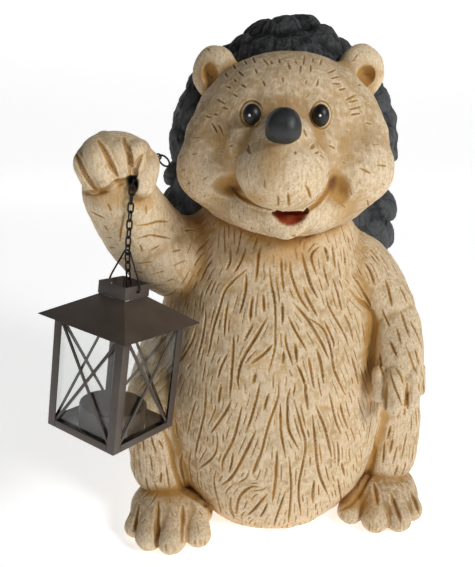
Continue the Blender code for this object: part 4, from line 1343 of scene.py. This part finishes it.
# %% Fur paint
def fur_paint():
    recipe = Recipe("painted_fur", 0.7)
    patches = recipe.noise(30, 3)
    grain = recipe.noise(620, 5, 0.7)
    hairs = recipe.noise(620, 3, 0.6, recipe.stretched(1, 1, 0.12))
    streaks = recipe.math("ADD", recipe.times(grain, 0.55), recipe.times(hairs, 0.45))
    shade = recipe.noise(85, 5, 0.7)
    tan = recipe.ramp(patches, (0.35, linear(178, 145, 97)), (0.65, linear(194, 160, 110)))
    cream = recipe.ramp(patches, (0.35, linear(206, 180, 137)), (0.65, linear(216, 191, 152)))
    base = recipe.mix(recipe.ramp(streaks, (0.34, 0.0), (0.64, 1.0)), tan, cream)
    base = recipe.mix(recipe.ramp(shade, (0.5, 0.0), (0.64, 0.7)), base, linear(222, 193, 160))
    base = recipe.mix(recipe.ramp(shade, (0.34, 0.8), (0.48, 0.0)), base, linear(176, 136, 80))
    base = recipe.mix(recipe.ramp(grain, (0.56, 0.0), (0.7, 0.4)), base, linear(156, 126, 86))
    blotches = recipe.ramp(recipe.noise(58, 5, 0.65), (0.52, 0.0), (0.62, 0.6))
    base = recipe.mix(blotches, base, linear(204, 162, 98))
    # Browner paint, with painted shade on the left leg and the right foot.
    tan_and_shade = recipe.times(recipe.number("tan"), recipe.ramp(streaks, (0.35, 1.0), (0.65, 0.7)))
    base = recipe.mix(tan_and_shade, base, linear(164, 130, 84))
    white = recipe.times(recipe.number("pale"), recipe.ramp(streaks, (0.38, 0.15), (0.56, 0.9)))
    base = recipe.mix(white, base, linear(236, 216, 183))
    # Ochre wash, and ochre painted shade under the chin, at the folds, in the dimples and on the insteps.
    wash_and_shade = recipe.times(recipe.number("wash_and_shade"), recipe.ramp(recipe.noise(95, 4), (0.3, 0.7), (0.7, 1.0)))
    base = recipe.mix(recipe.ramp(wash_and_shade, (0.04, 0.0), (0.85, 0.9)), base, linear(184, 138, 66))
    ochre = recipe.ramp(recipe.noise(70, 3), (0.35, linear(142, 100, 36)), (0.65, linear(190, 141, 58)))
    base = recipe.mix(recipe.ramp(recipe.number("groove"), (0.15, 0.0), (0.7, 0.8), (0.98, 1.0)), base, ochre)
    # Dark brown painted shade in the deepest hollows and at the dimple cores.
    base = recipe.mix(recipe.ramp(recipe.number("deep"), (0.06, 0.0), (0.9, 0.92)), base, linear(116, 68, 22))
    base = recipe.mix(recipe.number("tongue"), base, linear(168, 74, 38))
    # Near black painted shadow in the chain's hollow.
    base = recipe.mix(recipe.number("chain_hole_shadow"), base, linear(24, 18, 12))
    normal = recipe.bump(grain, 0.0006, 0.6)
    normal = recipe.bump(hairs, 0.0006, 0.6, normal)
    return recipe.finish(base, recipe.ramp(grain, (0.3, 0.8), (0.7, 0.6)), normal)


FUR_PAINT = fur_paint()
print("fur paint has", len(FUR_PAINT.node_tree.nodes), "nodes")

# %% [markdown]
# ## Slate paint and gloss
# The coat is a dark slate grey with paler rubbed ridges. Towards the top of the crown it turns near black,
# darker paint and painted shade together, and its hollows between the lobes get painted shade of the same
# near black. Nose and eyes are a grey and a black too, but varnished: a lower roughness is what makes them
# look wet.

# %% Slate and varnish
SLATE_SHADOW = linear(20, 21, 23)
CROWN_SHADE_START, CROWN_SHADE_FULL = 0.35, 0.39


def slate_paint():
    recipe = Recipe("slate_quills", 0.6)
    recipe.shader.inputs["Specular IOR Level"].default_value = 0.3
    patches = recipe.noise(45, 5, 0.6)
    grit = recipe.noise(420, 5, 0.7)
    base = recipe.ramp(patches, (0.3, linear(42, 44, 46)), (0.7, linear(62, 64, 66)))
    height = recipe.tree.nodes.new("ShaderNodeSeparateXYZ")
    recipe.feed(height.inputs["Vector"], recipe.place)
    # Near black towards the top: the crown's darker paint, and painted shade.
    crown = recipe.ramp(height.outputs["Z"], (CROWN_SHADE_START, 0.0), (CROWN_SHADE_FULL, 0.85))
    base = recipe.mix(crown, base, SLATE_SHADOW)
    rubbed = recipe.times(recipe.number("pale"), recipe.ramp(grit, (0.4, 0.1), (0.62, 0.5)))
    base = recipe.mix(rubbed, base, linear(104, 105, 106))
    base = recipe.mix(recipe.times(recipe.number("deep"), 0.75), base, SLATE_SHADOW)
    normal = recipe.bump(grit, 0.0006, 0.6)
    normal = recipe.bump(recipe.noise(130, 4, 0.6), 0.0015, 0.5, normal)
    return recipe.finish(base, recipe.ramp(grit, (0.3, 0.5), (0.7, 0.72)), normal)


def varnished(name, colour, roughness, grain):
    """A glossy paint with darker patches and a fine grain under the varnish."""
    recipe = Recipe(name, roughness)
    patches = recipe.noise(160, 4, 0.6)
    darker = tuple(0.65 * part for part in colour[:3]) + (1,)
    base = recipe.ramp(patches, (0.3, darker), (0.7, colour))
    return recipe.finish(base, recipe.ramp(patches, (0.3, roughness), (0.7, roughness + 0.08)),
                         recipe.bump(recipe.noise(400, 3), 0.0004, grain))


SLATE = slate_paint()
NOSE_GLOSS = varnished("nose_varnish", linear(45, 46, 46), 0.45, 0.6)
EYE_GLOSS = varnished("eye_varnish", linear(24, 24, 25), 0.38, 0.1)
# White paint for the painted highlights on the eyes.
EYE_HIGHLIGHT = varnished("painted_eye_highlight", linear(244, 243, 238), 0.4, 0.1)
print("slate and varnish ready")

# %% [markdown]
# ## Putting the figure in the scene
# Each piece rides on the body of the measured model and hides the node it stands for, so that the plain solid
# stays only for collisions. All of them go through one helper, so none is forgotten.

# %% Fur and coat
def add_piece(name, mesh, paint, slot, *nodes):
    """Puts a mesh in the scene under a name, painted, riding on the root body in place of its nodes."""
    mesh.name = name
    mesh.materials.clear()
    mesh.materials.append(paint)
    mesh.shade_smooth()
    piece = in_scene(name, mesh)
    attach(piece, "root")
    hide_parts(*nodes)


for name, mesh in skins.items():
    add_piece(name, mesh, FUR_PAINT, "cast_stone", "hedgehog_figure")
add_piece("quill_coat", coat_mesh, SLATE, "cast_stone", "hedgehog_figure")
print("figure in place")

# %% [markdown]
# ## Nose and eyes
# The nose is a squarish cap, wider at its lower edge, that sits on the muzzle like a thimble. Balls with
# their cross-section squared a little give that. The eyes are plain glossy ovals, each with a small white
# ball set where the camera sees its glint: a painted highlight.

# %% Nose and eyes
def squared_ball(radii, power, flare):
    """A ball with squared shoulders, wider towards its lower edge by the flare."""
    spots, rounds, counts = ball_arrays(5)
    size = (np.abs(spots) ** power).sum(1) ** (1 / power)
    spots = spots / size[:, None]
    spots[:, :2] *= 1 - flare * spots[:, 2:3]
    return [(spots * np.array(radii) * UNIT, rounds, counts)]


def moved(shapes, turn, centre):
    """The shapes turned, and then set at a centre."""
    return [(spots @ np.array(turn).T + np.array(centre), rounds, counts) for spots, rounds, counts in shapes]


nose_shapes = moved(squared_ball((11.4, 12.5, 11.2), 2.4, 0.07), spun(-10, "X"), at(-1.8, -120, 335))
nose_mesh = mesh_of(nose_shapes)
lumpy(nose_mesh, 8, 0.6, 2)
add_piece("nose", nose_mesh, NOSE_GLOSS, "cast_stone", "hedgehog_figure")

# A painted highlight on each eye: a small white ball where the camera's sight line through the glint meets
# the eye.
HIGHLIGHT_RADII = (0.85, 0.4, 0.95)
EYES = (("left", at(-23, -90.5, 342), (6.3, 6.2, 7.3), 249.5, 115.3),
        ("right", at(22.6, -90.5, 341.5), (5.9, 6.2, 7.4), 320.1, 115.5))
for label, centre, radii, highlight_across, highlight_down in EYES:
    eye_shapes = []
    add_ball(eye_shapes, centre, radii)
    eye = mesh_of(eye_shapes)
    glint = surface_of(eye).ray_cast(CAMERA_PLACE, sight_line(highlight_across, highlight_down))[0]
    add_piece("eye_" + label, eye, EYE_GLOSS, "cast_stone", "hedgehog_figure")
    highlight_shapes = []
    add_ball(highlight_shapes, glint, HIGHLIGHT_RADII)
    add_piece("eye_highlight_" + label, mesh_of(highlight_shapes), EYE_HIGHLIGHT, "cast_stone", "hedgehog_figure")
    print(label, "eye at", [round(part * 1000) for part in centre], "mm")

# %% [markdown]
# ## Lantern metal, wire and glass
# The lantern is thin sheet steel with a dark brown grey enamel, rubbed a little paler in places. The chain
# is blackened wire, smoother than the enamel. The panes are clear: full transmission and hardly any
# roughness let us see the braces and the cup behind them.

# %% Lantern paint
def lantern_paint():
    recipe = Recipe("lantern_enamel", 0.42, 0.25)
    patches = recipe.noise(35, 4, 0.6)
    rub = recipe.ramp(recipe.noise(240, 5, 0.7), (0.62, 0.0), (0.74, 0.35))
    base = recipe.mix(rub, recipe.ramp(patches, (0.3, linear(76, 67, 61)), (0.7, linear(95, 86, 79))),
                      linear(104, 96, 89))
    grit = recipe.bump(recipe.noise(1500, 3, 0.6), 0.0002, 0.35)
    return recipe.finish(base, recipe.ramp(patches, (0.3, 0.38), (0.7, 0.5)), grit)


def wire_paint():
    """Nearly black, with a faint grain."""
    recipe = Recipe("black_wire", 0.4)
    recipe.shader.inputs["Specular IOR Level"].default_value = 0.35
    grain = recipe.noise(600, 4)
    base = recipe.ramp(grain, (0.35, linear(10, 10, 10)), (0.7, linear(26, 24, 23)))
    return recipe.finish(base, recipe.ramp(grain, (0.3, 0.34), (0.7, 0.44)), recipe.bump(grain, 0.0001, 0.3))


def clear_glass():
    recipe = Recipe("clear_pane", 0.02)
    recipe.shader.inputs["Base Color"].default_value = (0.96, 0.97, 0.96, 1)
    recipe.shader.inputs["Transmission Weight"].default_value = 1.0
    recipe.shader.inputs["IOR"].default_value = 1.45
    return recipe.material


ENAMEL = lantern_paint()
WIRE = wire_paint()
PANE = clear_glass()
print("lantern paint ready")

# %% [markdown]
# ## Dressing the lantern
# The measured solids of the lantern are already the right shape, so each is copied. A folded edge is never
# perfectly sharp and catches a thin line of light: a fine bevel gives that. The wire solids have only five
# sides, to be light, so subdivision rounds them, and a small swell brings back the girth that it takes.
# Copying keeps every sheet and link exactly where it was measured. The glass needs only its material.

# %% Dress the lantern
WELD = 1e-6
FLAT_ANGLE, SHARP_ANGLE = math.radians(2), math.radians(28)
BEVEL = 0.00025
BAIL_SWELL, LINK_SWELL = 0.00014, 0.00026


def welded_copy(node):
    """A copy of a measured mesh, and its shapes with doubled corners joined, ready for more work."""
    mesh = frame["nodes"][node].data.copy()
    shapes = bmesh.new()
    shapes.from_mesh(mesh)
    bmesh.ops.remove_doubles(shapes, verts=shapes.verts, dist=WELD)
    return mesh, shapes


def bevelled_copy(node):
    """A copy of a measured solid with fine bevels on its sharp edges."""
    mesh, shapes = welded_copy(node)
    bmesh.ops.dissolve_limit(shapes, angle_limit=FLAT_ANGLE, verts=shapes.verts, edges=shapes.edges)
    whole = [edge for edge in shapes.edges if len(edge.link_faces) == 2]
    sharp = [edge for edge in whole if edge.calc_face_angle() > SHARP_ANGLE]
    bmesh.ops.bevel(shapes, geom=sharp, offset=BEVEL, segments=2, profile=0.6, affect="EDGES",
                    clamp_overlap=True)
    return written(shapes, mesh)


def rounded_copy(node):
    """A copy of a measured wire, its five-sided section rounded by subdivision and filled out again."""
    mesh, shapes = welded_copy(node)
    mesh = worked(written(shapes, mesh), "SUBSURF", levels=2, render_levels=2)
    swell = BAIL_SWELL if node == "wire_bail" else LINK_SWELL
    place_points(mesh, coordinates_of(mesh) + normals_of(mesh) * swell)
    return mesh


def nodes_in(slot):
    """The measured nodes whose finish the record gives as that slot."""
    return [entry["node"] for entry in frame["record"]["subparts"] if entry["material_slot"] == slot]


for node in nodes_in("lantern_steel"):
    add_piece("enamelled_" + node, bevelled_copy(node), ENAMEL, "lantern_steel", node)
for node in nodes_in("black_wire"):
    add_piece("wire_" + node, rounded_copy(node), WIRE, "black_wire", node)
for node in nodes_in("lantern_glass"):
    frame["nodes"][node].data.materials.clear()
    frame["nodes"][node].data.materials.append(PANE)
print(len(nodes_in("lantern_steel")), "steel pieces,", len(nodes_in("black_wire")), "wire pieces")

# %% [markdown]
# ## Floor and light
# A pale floor runs up behind the figure and glows a little, so that it looks white without a strong lamp on
# it. The main lamp is a soft disc high on the right, which puts the left side of the figure in gentle shade,
# and a faint wide one on the left keeps that shade open. A sky of one colour adds a trace of light all round.

# %% Studio
FLOOR_GLOW, SKY_GLOW = 0.66, 0.06
LAMP_AIM = Vector((0, 0, 0.22))


def stage_paint():
    recipe = Recipe("studio_white", 0.9)
    recipe.shader.inputs["Base Color"].default_value = (0.86, 0.86, 0.86, 1)
    recipe.shader.inputs["Emission Color"].default_value = (1, 1, 1, 1)
    recipe.shader.inputs["Emission Strength"].default_value = FLOOR_GLOW
    return recipe.material


def backdrop():
    """A floor sheet that curves up behind the figure."""
    half_width, front, bend, height = 5.0, -4.0, 2.4, 3.2
    curve = np.linspace(0, math.pi / 2, 13)
    profile = [(front, 0.0), *((bend + math.sin(turn), 1 - math.cos(turn)) for turn in curve)]
    profile.append((bend + 1, height))
    shapes = bmesh.new()
    rows = [[shapes.verts.new((x, y, z)) for x in (-half_width, half_width)] for y, z in profile]
    for low, high in zip(rows, rows[1:]):
        shapes.faces.new((low[0], low[1], high[1], high[0]))
    mesh = written(shapes, bpy.data.meshes.new("studio_floor"))
    mesh.materials.append(stage_paint())
    mesh.shade_smooth()
    floor = in_scene("studio_floor", mesh)


def soft_lamp(name, place, size, power):
    """A round area lamp, in metres and watts, that points at the middle of the figure."""
    lamp = bpy.data.lights.new(name, "AREA")
    lamp.shape = "DISK"
    lamp.size = size
    lamp.energy = power
    holder = in_scene(name, lamp)
    holder.location = place
    holder.rotation_euler = (LAMP_AIM - Vector(place)).to_track_quat("-Z", "Y").to_euler()


backdrop()
soft_lamp("key_lamp", place=(1.5, -1.2, 1.25), size=0.6, power=27)
soft_lamp("fill_lamp", place=(-1.5, -1.5, 0.9), size=1.2, power=0.6)
world = bpy.data.worlds.new("studio")
world.use_nodes = True
world.node_tree.nodes["Background"].inputs["Color"].default_value = (1, 1, 1, 1)
world.node_tree.nodes["Background"].inputs["Strength"].default_value = SKY_GLOW
bpy.context.scene.world = world
bpy.context.scene.view_settings.view_transform = "Standard"
print("studio lit")
